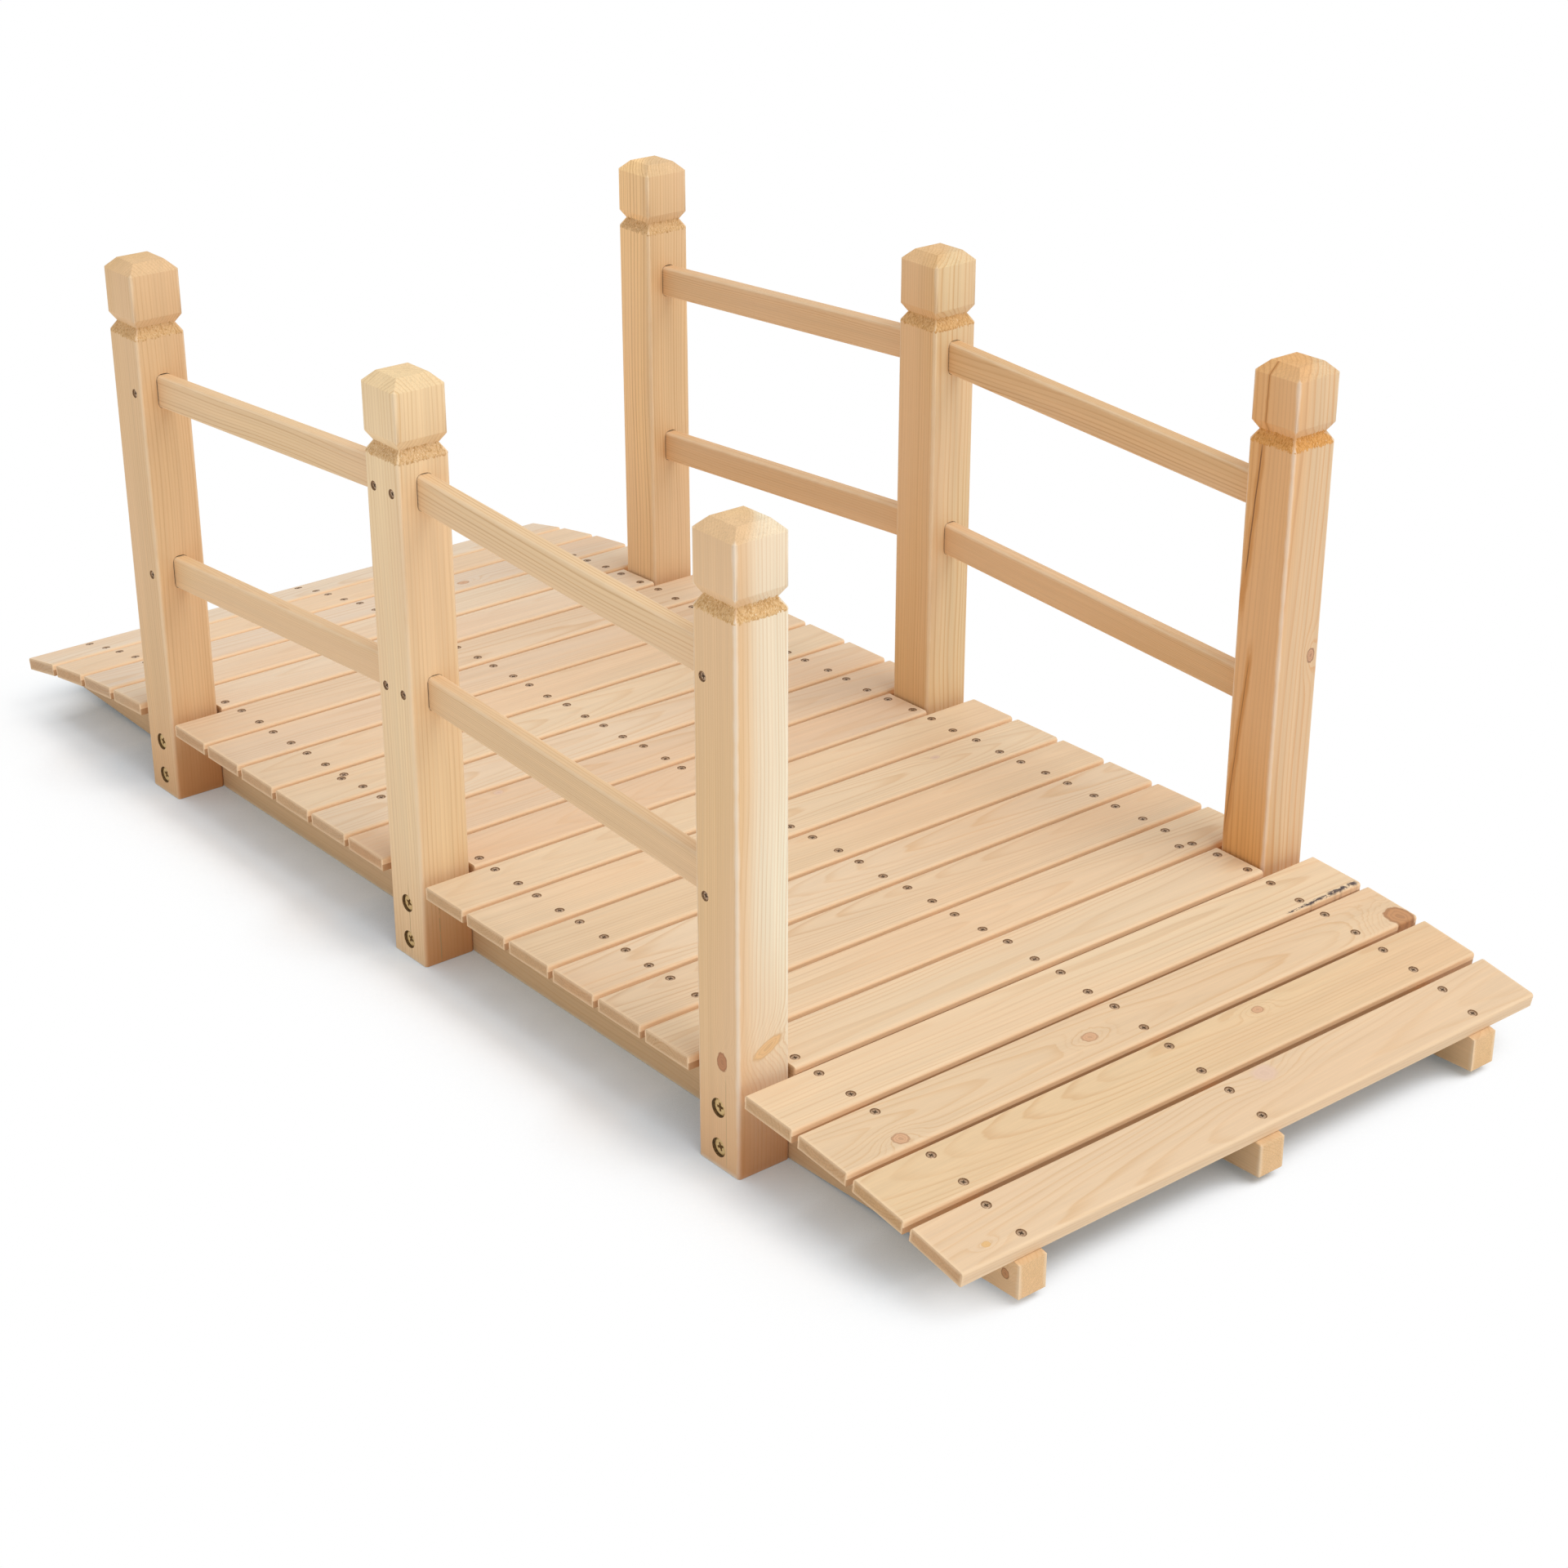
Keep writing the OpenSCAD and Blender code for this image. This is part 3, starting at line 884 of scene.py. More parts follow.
def varied(rng, colour, spread):
    """A colour shifted a little, the blue most."""
    shift = rng.uniform(-spread, spread)
    warm = rng.uniform(-spread, spread)
    red = colour[0] * (1 + shift * RED_SHARE)
    green = colour[1] * (1 + shift + warm * GREEN_SHARE)
    blue = colour[2] * (1 + shift + warm)
    return red, green, blue, 1


def tinted(colour, shade, share=1.0):
    """A colour multiplied by a share of a shade."""
    return [min(1.0, part * (1 + (by - 1) * share)) for part, by in zip(colour, shade)] + [1]


# How far a timber's ring spacing and contrast vary round what is asked
RING_SPACINGS = (0.8, 1.5)
RING_CONTRASTS = (0.7, 1.2)
# A heart wider than any timber, so that it has no sapwood
ALL_HEART = 1.0
EDGE_WIDTH = 4 * MM
EDGE_SHARE = 0.6


def finish_for(rng, early, late, edge, contrast, spread, spacing):
    """The colours and grain of one timber."""
    timber = bpy.context.scene.bridge_timber
    return {
        "early": varied(rng, early, spread), "late": varied(rng, late, spread),
        "sap": timber.sapwood[:], "heart": ALL_HEART,
        "blush": varied(rng, timber.blush, spread), "end": timber.end_tint[:],
        "edge": edge[:], "edge_width": EDGE_WIDTH, "edge_share": EDGE_SHARE, "gap_sides": (), "foot": 0.0,
        "spacing": spacing * rng.uniform(*RING_SPACINGS),
        "contrast": contrast * rng.uniform(*RING_CONTRASTS),
    }


def lean_of(rng, most):
    """A small turn of the pith against the timber's length."""
    first = Matrix.Rotation(rng.uniform(-most, most), 3, "X")
    second = Matrix.Rotation(rng.uniform(-most, most), 3, "Y")
    return first @ second


def pith_beside(rng, middle, sideways, up):
    """A pith that runs along a lying timber, above it or below it, within reaches in millimetres."""
    beside = rng.uniform(-sideways, sideways)
    rise = rng.choice((-1, 1)) * rng.uniform(*up)
    return middle + Vector((0, beside, rise)) * MM


def knot_mm(place, axis, half, spin, tone, dark, soft=0.0):
    """A knot whose place and half sizes are in millimetres and whose spin is in degrees."""
    return Knot(Vector(place) * MM, axis, Vector(half) * MM, math.radians(spin), tone, dark, soft)


def streak_mm(place, half, lean, tone, broken):
    """An upright streak whose place and half sizes are in millimetres and whose lean is in degrees."""
    return Streak(Vector(place) * MM, "Z", Vector(half) * MM, math.radians(lean), tone, broken)


# The most that the pith leans in a slat and in the other timbers
SLAT_LEAN = math.radians(2.6)
LONG_LEAN = math.radians(0.6)


def slat_face(bm):
    """Middle and normal of a slat's top."""
    top = max((face for face in bm.faces if face.normal.z > 0.7), key=lambda face: face.calc_area())
    return top.calc_center_median(), top.normal.copy()


# Tones of knots, resin and bark
ROSE_KNOT = (0.72, 0.43, 0.25, 1)
BROWN_KNOT = (0.57, 0.29, 0.13, 1)
PALE_KNOT = (0.77, 0.55, 0.41, 1)
DULL_KNOT = (0.53, 0.24, 0.11, 1)
RESIN = (0.80, 0.50, 0.22, 1)
SMEAR = (0.86, 0.57, 0.30, 1)
BARK = (0.09, 0.06, 0.055, 1)
# Knots by slat: place across and along it and half sizes in millimetres, tone and how dark the rings are
SLAT_KNOTS = {
    "slat_21": [
        (19, -267, 7, 7.5, ROSE_KNOT, 0.6),
        (2, -47, 6, 8, ROSE_KNOT, 0.5),
        (21, 316, 15, 13, BROWN_KNOT, 0.6),
    ],
    "slat_22": [(-15, 101, 4.5, 6, ROSE_KNOT, 0.5)],
    "slat_23": [(-18, 42, 11, 14, PALE_KNOT, 0.12), (14, -293, 3, 4, RESIN, 0.15)],
    "slat_11": [(-20, -169, 5, 6, PALE_KNOT, 0.4)],
    "slat_03": [(8, 120, 6, 7, ROSE_KNOT, 0.6)],
    "slat_14": [(-12, 205, 4, 6, PALE_KNOT, 0.4)],
}
KNOT_DEPTH = 25 * MM
PALE_SOFT = 0.6
# Streaks of bark by slat: place across and along it and half sizes in millimetres
BARK_STREAKS = {"slat_20": [(26, 309, 3.6, 21), (26.8, 283, 2.3, 30), (27.5, 254, 1.2, 22)]}
BARK_DEPTH = 12 * MM
BARK_BROKEN = 0.46

# Half of a slat's section, and how far its pith lies below or above its top and to its side, in millimetres
SLAT_HALF_W = 29.5 * MM
SLAT_HALF_T = 6.5 * MM
SLAT_PITH_DEEP = (22, 55)
SLAT_PITH_SIDE = 24
# Contrast of the slats' rings and the spread of their colours
SLAT_RINGS = 0.55
SLAT_SPREAD = 0.07
# Painted haze: the paler, cooler cast of the far slats beside the near ones
SLAT_PAINTED_HAZE = (0.99, 1.045, 1.18)
# The deck's two ends, where a slat has no neighbour
SLAT_OPEN_SIDES = {(SLATS[0], -1), (SLATS[-1], 1)}
# Slats with bolder rings, and slats of another shade
SLAT_CONTRAST = {"slat_21": 1.1, "slat_16": 1.25}
SLAT_SHADES = {"slat_21": (1.03, 1.045, 1.01), "slat_22": (1.02, 1.03, 0.97)}

# A screw that the pattern lacks: slat, runner and side across the slat
SCREW_LEFT_OUT = {("slat_21", "runner_left", 1)}
# Screws beside the pattern: slat, and places across and along it in millimetres
SCREW_ADDED = {"slat_18": [(14, 248)], "slat_09": [(-11, -268)]}
# How far a screw strays across and along its slat, in millimetres
SCREW_STRAY = (1.3, 1.8)


def slat_marks(name, middle, normal):
    """Knots and streaks of one slat, set on its top."""
    across = Vector((0, 1, 0)).cross(normal)
    marks = []
    for x, y, half_x, half_y, tone, dark in SLAT_KNOTS.get(name, ()):
        place = middle + across * x * MM + Vector((0, y * MM, 0))
        soft = PALE_SOFT if tone == PALE_KNOT else 0.0
        marks.append(Knot(place, "Z", (half_x * MM, half_y * MM, KNOT_DEPTH), 0.0, tone, dark, soft))
    for x, y, half_x, half_y in BARK_STREAKS.get(name, ()):
        place = middle + across * x * MM + Vector((0, y * MM, 0))
        half = (half_x * MM, BARK_DEPTH, half_y * MM)
        marks.append(Streak(place, "Y", half, 0.0, BARK, BARK_BROKEN))
    return marks


def screw_places(name, middle, normal):
    """Places of a slat's screws on its top: a pair on each runner, a little uneven."""
    fasteners = bpy.context.scene.bridge_fasteners
    rng = random.Random(name + " screws")
    across = Vector((0, 1, 0)).cross(normal)
    places = []
    for runner in RUNNERS:
        for side in (-1, 1):
            uneven = [rng.uniform(-most, most) * MM for most in SCREW_STRAY]
            if (name, runner, side) in SCREW_LEFT_OUT:
                continue
            off = side * fasteners.pair_gap / 2 + uneven[0]
            places.append(middle + across * off + Vector((0, RUNNER_YS[runner] + uneven[1], 0)))
    for x, y in SCREW_ADDED.get(name, ()):
        places.append(middle + across * x * MM + Vector((0, y * MM, 0)))
    return places


# Half the height of a rail
RAIL_HALF = 16 * MM


def rail_ends(reach):
    """Each rail's two ends: the post, the way along X that the rail leaves it, and a point on its line."""
    for side in SIDES:
        for bay, way in BAYS:
            for level in LEVELS:
                middle, half = box_of(f"rail_{side}_{bay}_{level}")
                fall = way * (half.z - RAIL_HALF) / half.x
                for row, towards in (("mid", way), (bay, -way)):
                    post = f"post_{side}_{row}"
                    x = box_of(post)[0].x + towards * reach
                    yield post, towards, Vector((x, middle.y, middle.z - fall * (x - middle.x)))


def rail_screws():
    """Places of the screws that hold the rails, on the posts' outer faces, by post."""
    found = {post: [] for post in POSTS}
    for post, _, place in rail_ends(bpy.context.scene.bridge_fasteners.rail_screw_x):
        out = math.copysign(1, place.y)
        face = box_of(post)[0].y + out * POST_HALF.y
        found[post].append((Vector((place.x, face, place.z)), Vector((0, out, 0))))
    return found


# Half size of the block that opens a mortise's mouth, and its round corners
MOUTH_HALF = Vector((3, 8.3, 17.0)) * MM
MOUTH_ROUND = 6.5 * MM
MOUTH_STEPS = 6


def rail_mouths(post):
    """Middles of the mortises' mouths on a post's faces."""
    return [place for name, _, place in rail_ends(POST_HALF.x) if name == post]


def cut_mouths(bm, mouths):
    """Adds round cornered blocks that open the mortises' mouths to a cutter."""
    for place in mouths:
        size = Matrix.Diagonal((*(MOUTH_HALF * 2), 1))
        block = bmesh.ops.create_cube(bm, size=1, matrix=Matrix.Translation(place) @ size)["verts"]
        edges = {edge for vert in block for edge in vert.link_edges}
        along = [edge for edge in edges if abs(edge.verts[0].co.x - edge.verts[1].co.x) > MOUTH_HALF.x]
        bmesh.ops.bevel(
            bm, geom=along, offset=MOUTH_ROUND, offset_type="OFFSET", segments=MOUTH_STEPS, profile=0.5,
            affect="EDGES", clamp_overlap=True, material=-1)


def darken_mouths(bm, mouths, post_x, material):
    """Gives the walls inside the mortises the painted shade of their own material."""
    for face in bm.faces:
        middle = face.calc_center_median()
        for place in mouths:
            off = middle - place
            beside = abs(off.y) < MOUTH_HALF.y + WALL_SLACK
            level = abs(off.z) < MOUTH_HALF.z + WALL_SLACK
            if beside and level and abs(middle.x - post_x) < POST_HALF.x - FACE_SKIN:
                face.material_index = material


class BRIDGE_OT_groups(Operator):
    """Builds the shader groups that the woods and metals share"""

    bl_idname = "bridge.groups"
    bl_label = "Shader groups"

    def execute(self, context):
        for build in GROUPS:
            build()
        return {"FINISHED"}


class BRIDGE_OT_slats(Operator):
    """Dresses the deck's slats with eased ends, countersinks and their own grain"""

    bl_idname = "bridge.slats"
    bl_label = "Slats"

    def execute(self, context):
        timber = context.scene.bridge_timber
        seat_d = context.scene.bridge_fasteners.seat_d
        seat = recess_shade_material("screw_seat_shade", *SCREW_SEAT_SHADE)
        for number, name in enumerate(SLATS):
            rng = random.Random(name)
            bm = packed_timber(name)
            top, normal = slat_face(bm)
            across = Vector((0, 1, 0)).cross(normal)
            slope = Matrix.Rotation(math.atan2(normal.x, normal.z), 3, "Y")
            ease_arrises(bm, timber.arris, ARRIS_STEPS)
            seats = [(place, normal) for place in screw_places(name, top, normal)]
            bm = cut_seats(bm, seat_cutter(seats, seat_d))
            darken_seats(bm, seats, seat_d, SEAT_DEPTH)
            deep = rng.choice((-1, 1)) * rng.uniform(*SLAT_PITH_DEEP) * MM
            beside = rng.uniform(-SLAT_PITH_SIDE, SLAT_PITH_SIDE) * MM
            pith = top + across * beside + normal * deep
            turn = slope @ ALONG["Y"] @ lean_of(rng, SLAT_LEAN)
            half = Vector((SLAT_HALF_W, box_of(name)[1].y, SLAT_HALF_T))
            grain = Grain(pith, turn.to_euler(), top - normal * half.z, half, slope.to_euler())
            # The far slats take the painted haze
            hazed = tinted(timber.slat_colour, SLAT_PAINTED_HAZE, 1 - number / (len(SLATS) - 1))
            hazed = tinted(hazed, SLAT_SHADES.get(name, (1, 1, 1)))
            finish = finish_for(
                rng, hazed, timber.slat_ring, timber.slat_edge_highlight, SLAT_RINGS, SLAT_SPREAD, timber.ring_spacing)
            finish["gap_sides"] = [side for side in (-1, 1) if (name, side) not in SLAT_OPEN_SIDES]
            finish["contrast"] *= SLAT_CONTRAST.get(name, 1.0)
            marks = slat_marks(name, top, normal)
            wood = timber_material(name + "_wood", finish, grain, rng.uniform(*SEEDS), marks)
            piece = finish_piece(bm, "timber_" + name, [wood, seat])
            flat_faces(piece)
            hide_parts(name)
        return {"FINISHED"}


# Tones of checks, stains and faint lines
CHECK = (0.25, 0.115, 0.045, 1)
FINE_CHECK = (0.40, 0.19, 0.07, 1)
STAIN = (0.66, 0.32, 0.11, 1)
RED_KNOT = (0.68, 0.39, 0.23, 1)
FAINT = (0.55, 0.36, 0.18, 1)
# Marks by post, on the face that they show on
POST_MARKS = {
    "post_left_near": [
        knot_mm((460.5, -326, 100), "Y", (6.5, 8.5, 14), 8, DULL_KNOT, 0.5),
        knot_mm((480, -298, 112), "X", (18, 6.5, 10), 25, SMEAR, 0.4, 0.3),
        streak_mm((465, -326, 45), (0.5, 8, 46), 0, FAINT, 0.3),
    ],
    "post_right_near": [
        streak_mm((440, 276, 405), (5.5, 9, 100), 4.3, STAIN, 0.25),
        streak_mm((439.5, 276, 190), (5, 9, 115), 5, STAIN, 0.25),
        streak_mm((447, 276, 522), (2.5, 12, 36), 1, STAIN, 0.3),
        streak_mm((440.5, 276, 418), (1.0, 9, 68), 4.3, CHECK, 0.3),
        streak_mm((447, 276, 520), (0.6, 12, 38), 1, FINE_CHECK, 0.35),
        streak_mm((439.5, 276, 194), (0.8, 9, 95), 5, FINE_CHECK, 0.35),
        knot_mm((480, 318, 283), "X", (5, 7, 12), 0, RED_KNOT, 1.0),
    ],
    "post_left_mid": [
        streak_mm((3, -326, 40), (0.7, 8, 40), 0, FAINT, 0.3),
        streak_mm((25, -311, 30), (8, 0.6, 34), 0, FAINT, 0.4),
    ],
}
# How pale or golden each post is beside the others
POST_SHADES = {
    "post_left_near": (1.00, 0.97, 0.90),
    "post_left_mid": (1.11, 1.19, 1.24),
    "post_left_far": (0.95, 0.91, 0.85),
    "post_right_near": (0.98, 0.74, 0.45),
    "post_right_mid": (0.97, 0.88, 0.74),
    "post_right_far": (0.96, 0.93, 0.885),
}
# The same for the sapwood of the posts that have some
POST_SAP_SHADES = {
    "post_left_near": (1.05, 1.20, 1.29),
    "post_right_near": (0.83, 0.745, 0.60),
    "post_right_mid": (0.885, 0.815, 0.65),
    "post_right_far": (1.10, 0.90, 0.62),
}
# Pith, reach of the heart, ring spacing in millimetres and ring contrast of each post
POST_HEARTS = {
    "post_left_near": Heart(-60, -60, 90, 2.3, 0.5),
    "post_left_mid": Heart(60, -62, 400, 3.8, 0.75),
    "post_left_far": Heart(62, -58, 400, 3.0, 0.85),
    "post_right_near": Heart(-58, -60, 88, 4.2, 1.05),
    "post_right_mid": Heart(-62, -54, 86, 3.2, 0.9),
    "post_right_far": Heart(60, 58, 88, 3.0, 0.9),
}
# The near posts' arrises, with a paler painted highlight
POST_EDGE_HIGHLIGHTS = {"post_left_near": (0.97, 0.90, 0.78, 1), "post_right_near": (0.96, 0.85, 0.72, 1)}
# Spread of the posts' colours
POST_SPREAD = 0.02
# Tint of the posts' end grain, and how high the painted shade rises at their feet
POST_CAP = (0.98, 0.99, 0.96, 1)
FOOT_H = 130 * MM
# The recess of a bolt's head
RECESS_D = 17 * MM
RECESS_DEPTH = 8 * MM


class BRIDGE_OT_posts(Operator):
    """Dresses the posts with mortise mouths, countersinks for the rails' screws and upright grain"""

    bl_idname = "bridge.posts"
    bl_label = "Posts"

    def execute(self, context):
        timber = context.scene.bridge_timber
        seat_d = context.scene.bridge_fasteners.seat_d
        seat = bpy.data.materials["screw_seat_shade"]
        recess = recess_shade_material("bolt_recess_shade", *BOLT_RECESS_SHADE)
        screws = rail_screws()
        for name in POSTS:
            rng = random.Random(name)
            middle, half = box_of(name)
            mouths = rail_mouths(name)
            bolts = [bolt for bolt in bolt_places() if bolt[2] == name]
            cutter = seat_cutter(screws[name], seat_d)
            cut_mouths(cutter, mouths)
            bm = cut_seats(packed_timber(name), cutter)
            darken_seats(bm, screws[name], seat_d, SEAT_DEPTH)
            darken_mouths(bm, mouths, middle.x, RECESS_SLOT)
            darken_seats(bm, bolts, RECESS_D, RECESS_DEPTH, RECESS_SLOT)
            heart, shade = POST_HEARTS[name], POST_SHADES[name]
            pith = middle + Vector((heart.x, heart.y, 0)) * MM
            grain = Grain(pith, lean_of(rng, LONG_LEAN).to_euler(), middle, half, (0, 0, 0))
            finish = finish_for(
                rng, tinted(timber.post_colour, shade), tinted(timber.post_ring, shade), timber.post_edge_highlight,
                heart.contrast, POST_SPREAD, heart.spacing * MM)
            finish.update(
                edge=POST_EDGE_HIGHLIGHTS.get(name, finish["edge"]), heart=heart.reach * MM,
                spacing=heart.spacing * MM, contrast=heart.contrast, end=POST_CAP, foot=FOOT_H,
                sap=tinted(timber.sapwood, POST_SAP_SHADES.get(name, (1, 1, 1))))
            marks = POST_MARKS.get(name, ())
            wood = timber_material(name + "_wood", finish, grain, rng.uniform(*SEEDS), marks)
            piece = finish_piece(bm, "timber_" + name, [wood, seat, recess])
            flat_faces(piece)
            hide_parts(name)
        return {"FINISHED"}


RUNNER_MARKS = {"runner_left": [knot_mm((735, -276, 24), "Y", (4.5, 4.5, 14), 0, BROWN_KNOT, 0.9)]}
# Tint of the runners' sawn ends, and how far their pith lies to the side and up or down, in millimetres
RUNNER_END = (1.0, 0.98, 0.94, 1)
RUNNER_PITH = (40, (40, 70))
# Contrast of the runners' rings and the spread of their colours
RUNNER_RINGS = 0.6
RUNNER_SPREAD = 0.03


class BRIDGE_OT_runners(Operator):
    """Dresses the runners with eased corners and long grain"""

    bl_idname = "bridge.runners"
    bl_label = "Runners"

    def execute(self, context):
        timber = context.scene.bridge_timber
        for name in RUNNERS:
            rng = random.Random(name)
            middle, half = box_of(name)
            bm = packed_timber(name)
            ease_arrises(bm, timber.runner_arris, RUNNER_ARRIS_STEPS)
            pith = pith_beside(rng, middle, *RUNNER_PITH)
            turn = ALONG["X"] @ lean_of(rng, LONG_LEAN)
            grain = Grain(pith, turn.to_euler(), middle, half, (0, 0, 0))
            finish = finish_for(
                rng, timber.runner_colour, timber.post_ring, timber.post_edge_highlight,
                RUNNER_RINGS, RUNNER_SPREAD, timber.rail_spacing)
            finish["end"] = RUNNER_END
            marks = RUNNER_MARKS.get(name, ())
            wood = timber_material(name + "_wood", finish, grain, rng.uniform(*SEEDS), marks)
            piece = finish_piece(bm, "timber_" + name, [wood])
            flat_faces(piece)
            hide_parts(name)
        return {"FINISHED"}


# How golden the rails of each side are, and how far their pith lies to the side and up or down
RAIL_SHADES = {"left": (1.0, 1.0, 1.0), "right": (0.94, 0.88, 0.81)}
RAIL_PITH = (45, (25, 50))
# Contrast of the rails' rings and the spread of their colours
RAIL_RINGS = 0.95
RAIL_SPREAD = 0.04


class BRIDGE_OT_rails(Operator):
    """Gives each rail its own long grain, along its slope"""

    bl_idname = "bridge.rails"
    bl_label = "Rails"

    def execute(self, context):
        timber = context.scene.bridge_timber
        for name in RAILS:
            rng = random.Random(name)
            middle, half = box_of(name)
            way = -1 if "_far_" in name else 1
            fall = math.atan2(half.z - RAIL_HALF, half.x) * way
            slope = Matrix.Rotation(fall, 3, "Y")
            pith = pith_beside(rng, middle, *RAIL_PITH)
            turn = slope @ ALONG["X"] @ lean_of(rng, LONG_LEAN)
            size = Vector((half.x, half.y, RAIL_HALF))
            grain = Grain(pith, turn.to_euler(), middle, size, slope.to_euler())
            shade = RAIL_SHADES["right" if "_right_" in name else "left"]
            finish = finish_for(
                rng, tinted(timber.post_colour, shade), tinted(timber.post_ring, shade), timber.post_edge_highlight,
                RAIL_RINGS, RAIL_SPREAD, timber.rail_spacing)
            wood = timber_material(name + "_wood", finish, grain, rng.uniform(*SEEDS))
            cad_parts[name].material_slots[0].material = wood
        return {"FINISHED"}


# Torn grain in the posts' grooves

HEAD_H = 52 * MM
GROOVE_H = 19 * MM
GROOVE_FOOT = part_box("post_left_near")[1].z - HEAD_H - GROOVE_H
GROOVE_HEART = GROOVE_FOOT + GROOVE_H / 2
GROOVE_DEPTH = 6 * MM
POST_ROUND = 3 * MM
# How badly each post's groove is torn beside the others
TEAR_SHARES = {
    "post_left_near": 1.0, "post_left_mid": 1.2, "post_left_far": 0.7,
    "post_right_near": 0.5, "post_right_mid": 1.2, "post_right_far": 0.5,
}
TEAR_COLUMNS = 84
TEAR_ROWS = 22
TEAR_BELOW = 3.5 * MM
TEAR_ABOVE = 3.5 * MM
TEAR_THICK = 0.8 * MM
# How far the band stands out and tapers off at its upper and lower edge, in its relief
TEAR_RISE = 0.5
TEAR_TAPER = 1.7
# Coarse and fine tufts: waves per metre across and along the post, and their shares
COARSE_TUFTS = (620, 620, 120)
COARSE_SHARE = 0.9
FINE_TUFTS = (1500, 1500, 300)
FINE_SHARE = 0.5


def groove_inset(z):
    """How far the groove's slopes lie in from a post's face at a height."""
    return max(0.0, GROOVE_DEPTH * (1 - abs(z - GROOVE_HEART) / (GROOVE_H / 2)))


def tuft_at(place):
    """How far a tuft of torn fibres stands out at a place, from about -1 to 1."""
    coarse = noise.noise(place * Vector(COARSE_TUFTS))
    fine = noise.noise(place * Vector(FINE_TUFTS))
    return COARSE_SHARE * coarse + FINE_SHARE * fine


def torn_band(name):
    """A rough band of torn fibres on the lower slope of a post's groove, ragged above and below."""
    relief = bpy.context.scene.bridge_timber.tear_relief * TEAR_SHARES[name]
    middle, half = box_of(name)
    bm = bmesh.new()
    square = Matrix.Rotation(math.radians(45), 4, "Z")
    bmesh.ops.create_circle(bm, segments=4, radius=half.x * math.sqrt(2), matrix=square)
    bmesh.ops.bevel(
        bm, geom=bm.verts[:], offset=POST_ROUND, segments=4, profile=0.5, affect="VERTICES", material=-1)
    sides = [edge for edge in bm.edges if edge.calc_length() > half.x]
    bmesh.ops.subdivide_edges(bm, edges=sides, cuts=TEAR_COLUMNS)
    foot = GROOVE_FOOT - TEAR_BELOW
    bmesh.ops.translate(bm, vec=(0, 0, foot), verts=bm.verts)
    ring = bm.edges[:]
    rise = (GROOVE_HEART + TEAR_ABOVE - foot) / TEAR_ROWS
    shrink = 1.0
    for row in range(TEAR_ROWS):
        part = bmesh.ops.extrude_edge_only(bm, edges=ring)["geom"]
        ring = [piece for piece in part if isinstance(piece, bmesh.types.BMEdge)]
        corners = [piece for piece in part if isinstance(piece, bmesh.types.BMVert)]
        wanted = 1 - groove_inset(foot + (row + 1) * rise) / half.x
        bmesh.ops.scale(bm, vec=(wanted / shrink, wanted / shrink, 1), verts=corners)
        bmesh.ops.translate(bm, vec=(0, 0, rise), verts=corners)
        shrink = wanted
    bmesh.ops.translate(bm, vec=(middle.x, middle.y, 0), verts=bm.verts)
    bmesh.ops.recalc_face_normals(bm, faces=bm.faces)
    if sum(face.normal.dot(face.calc_center_median() - middle) for face in bm.faces) < 0:
        bmesh.ops.reverse_faces(bm, faces=bm.faces)
    bm.normal_update()
    for vert in bm.verts:
        below = max(0.0, GROOVE_FOOT - vert.co.z) / TEAR_BELOW
        above = max(0.0, vert.co.z - GROOVE_HEART) / TEAR_ABOVE
        vert.co += vert.normal * relief * (TEAR_RISE + tuft_at(vert.co) - TEAR_TAPER * max(below, above))
    bmesh.ops.solidify(bm, geom=bm.faces[:], thickness=TEAR_THICK)
    return bm


def torn_material(name):
    """Torn fibres in the colours of one post."""
    material, tree, shader, seen = new_material(name + "_torn")
    shade = (*(min(1.0, part) for part in POST_SHADES[name]), 1)
    torn = use_group(tree, "Torn fibres", {"Vector": seen["Object"], "Tint": shade})
    feed(tree, shader.inputs["Base Color"], torn["Color"])
    feed(tree, shader.inputs["Roughness"], torn["Roughness"])
    shader.inputs["Specular IOR Level"].default_value = TORN_SPECULAR
    bump(tree, shader, torn["Height"], *TORN_RELIEF)
    return material


class BRIDGE_OT_grooves(Operator):
    """Roughens the lower slope of each post's groove with torn fibres"""

    bl_idname = "bridge.grooves"
    bl_label = "Torn grooves"

    def execute(self, context):
        for name in POSTS:
            wood = torn_material(name)
            finish_piece(torn_band(name), "torn_groove_" + name[len("post_"):], [wood])
        return {"FINISHED"}


# Most that a screw leans off its face's normal along each axis, and how many times as deep rail screws sit
SCREW_LEAN = 0.05
RAIL_SCREW_SUNK = 2


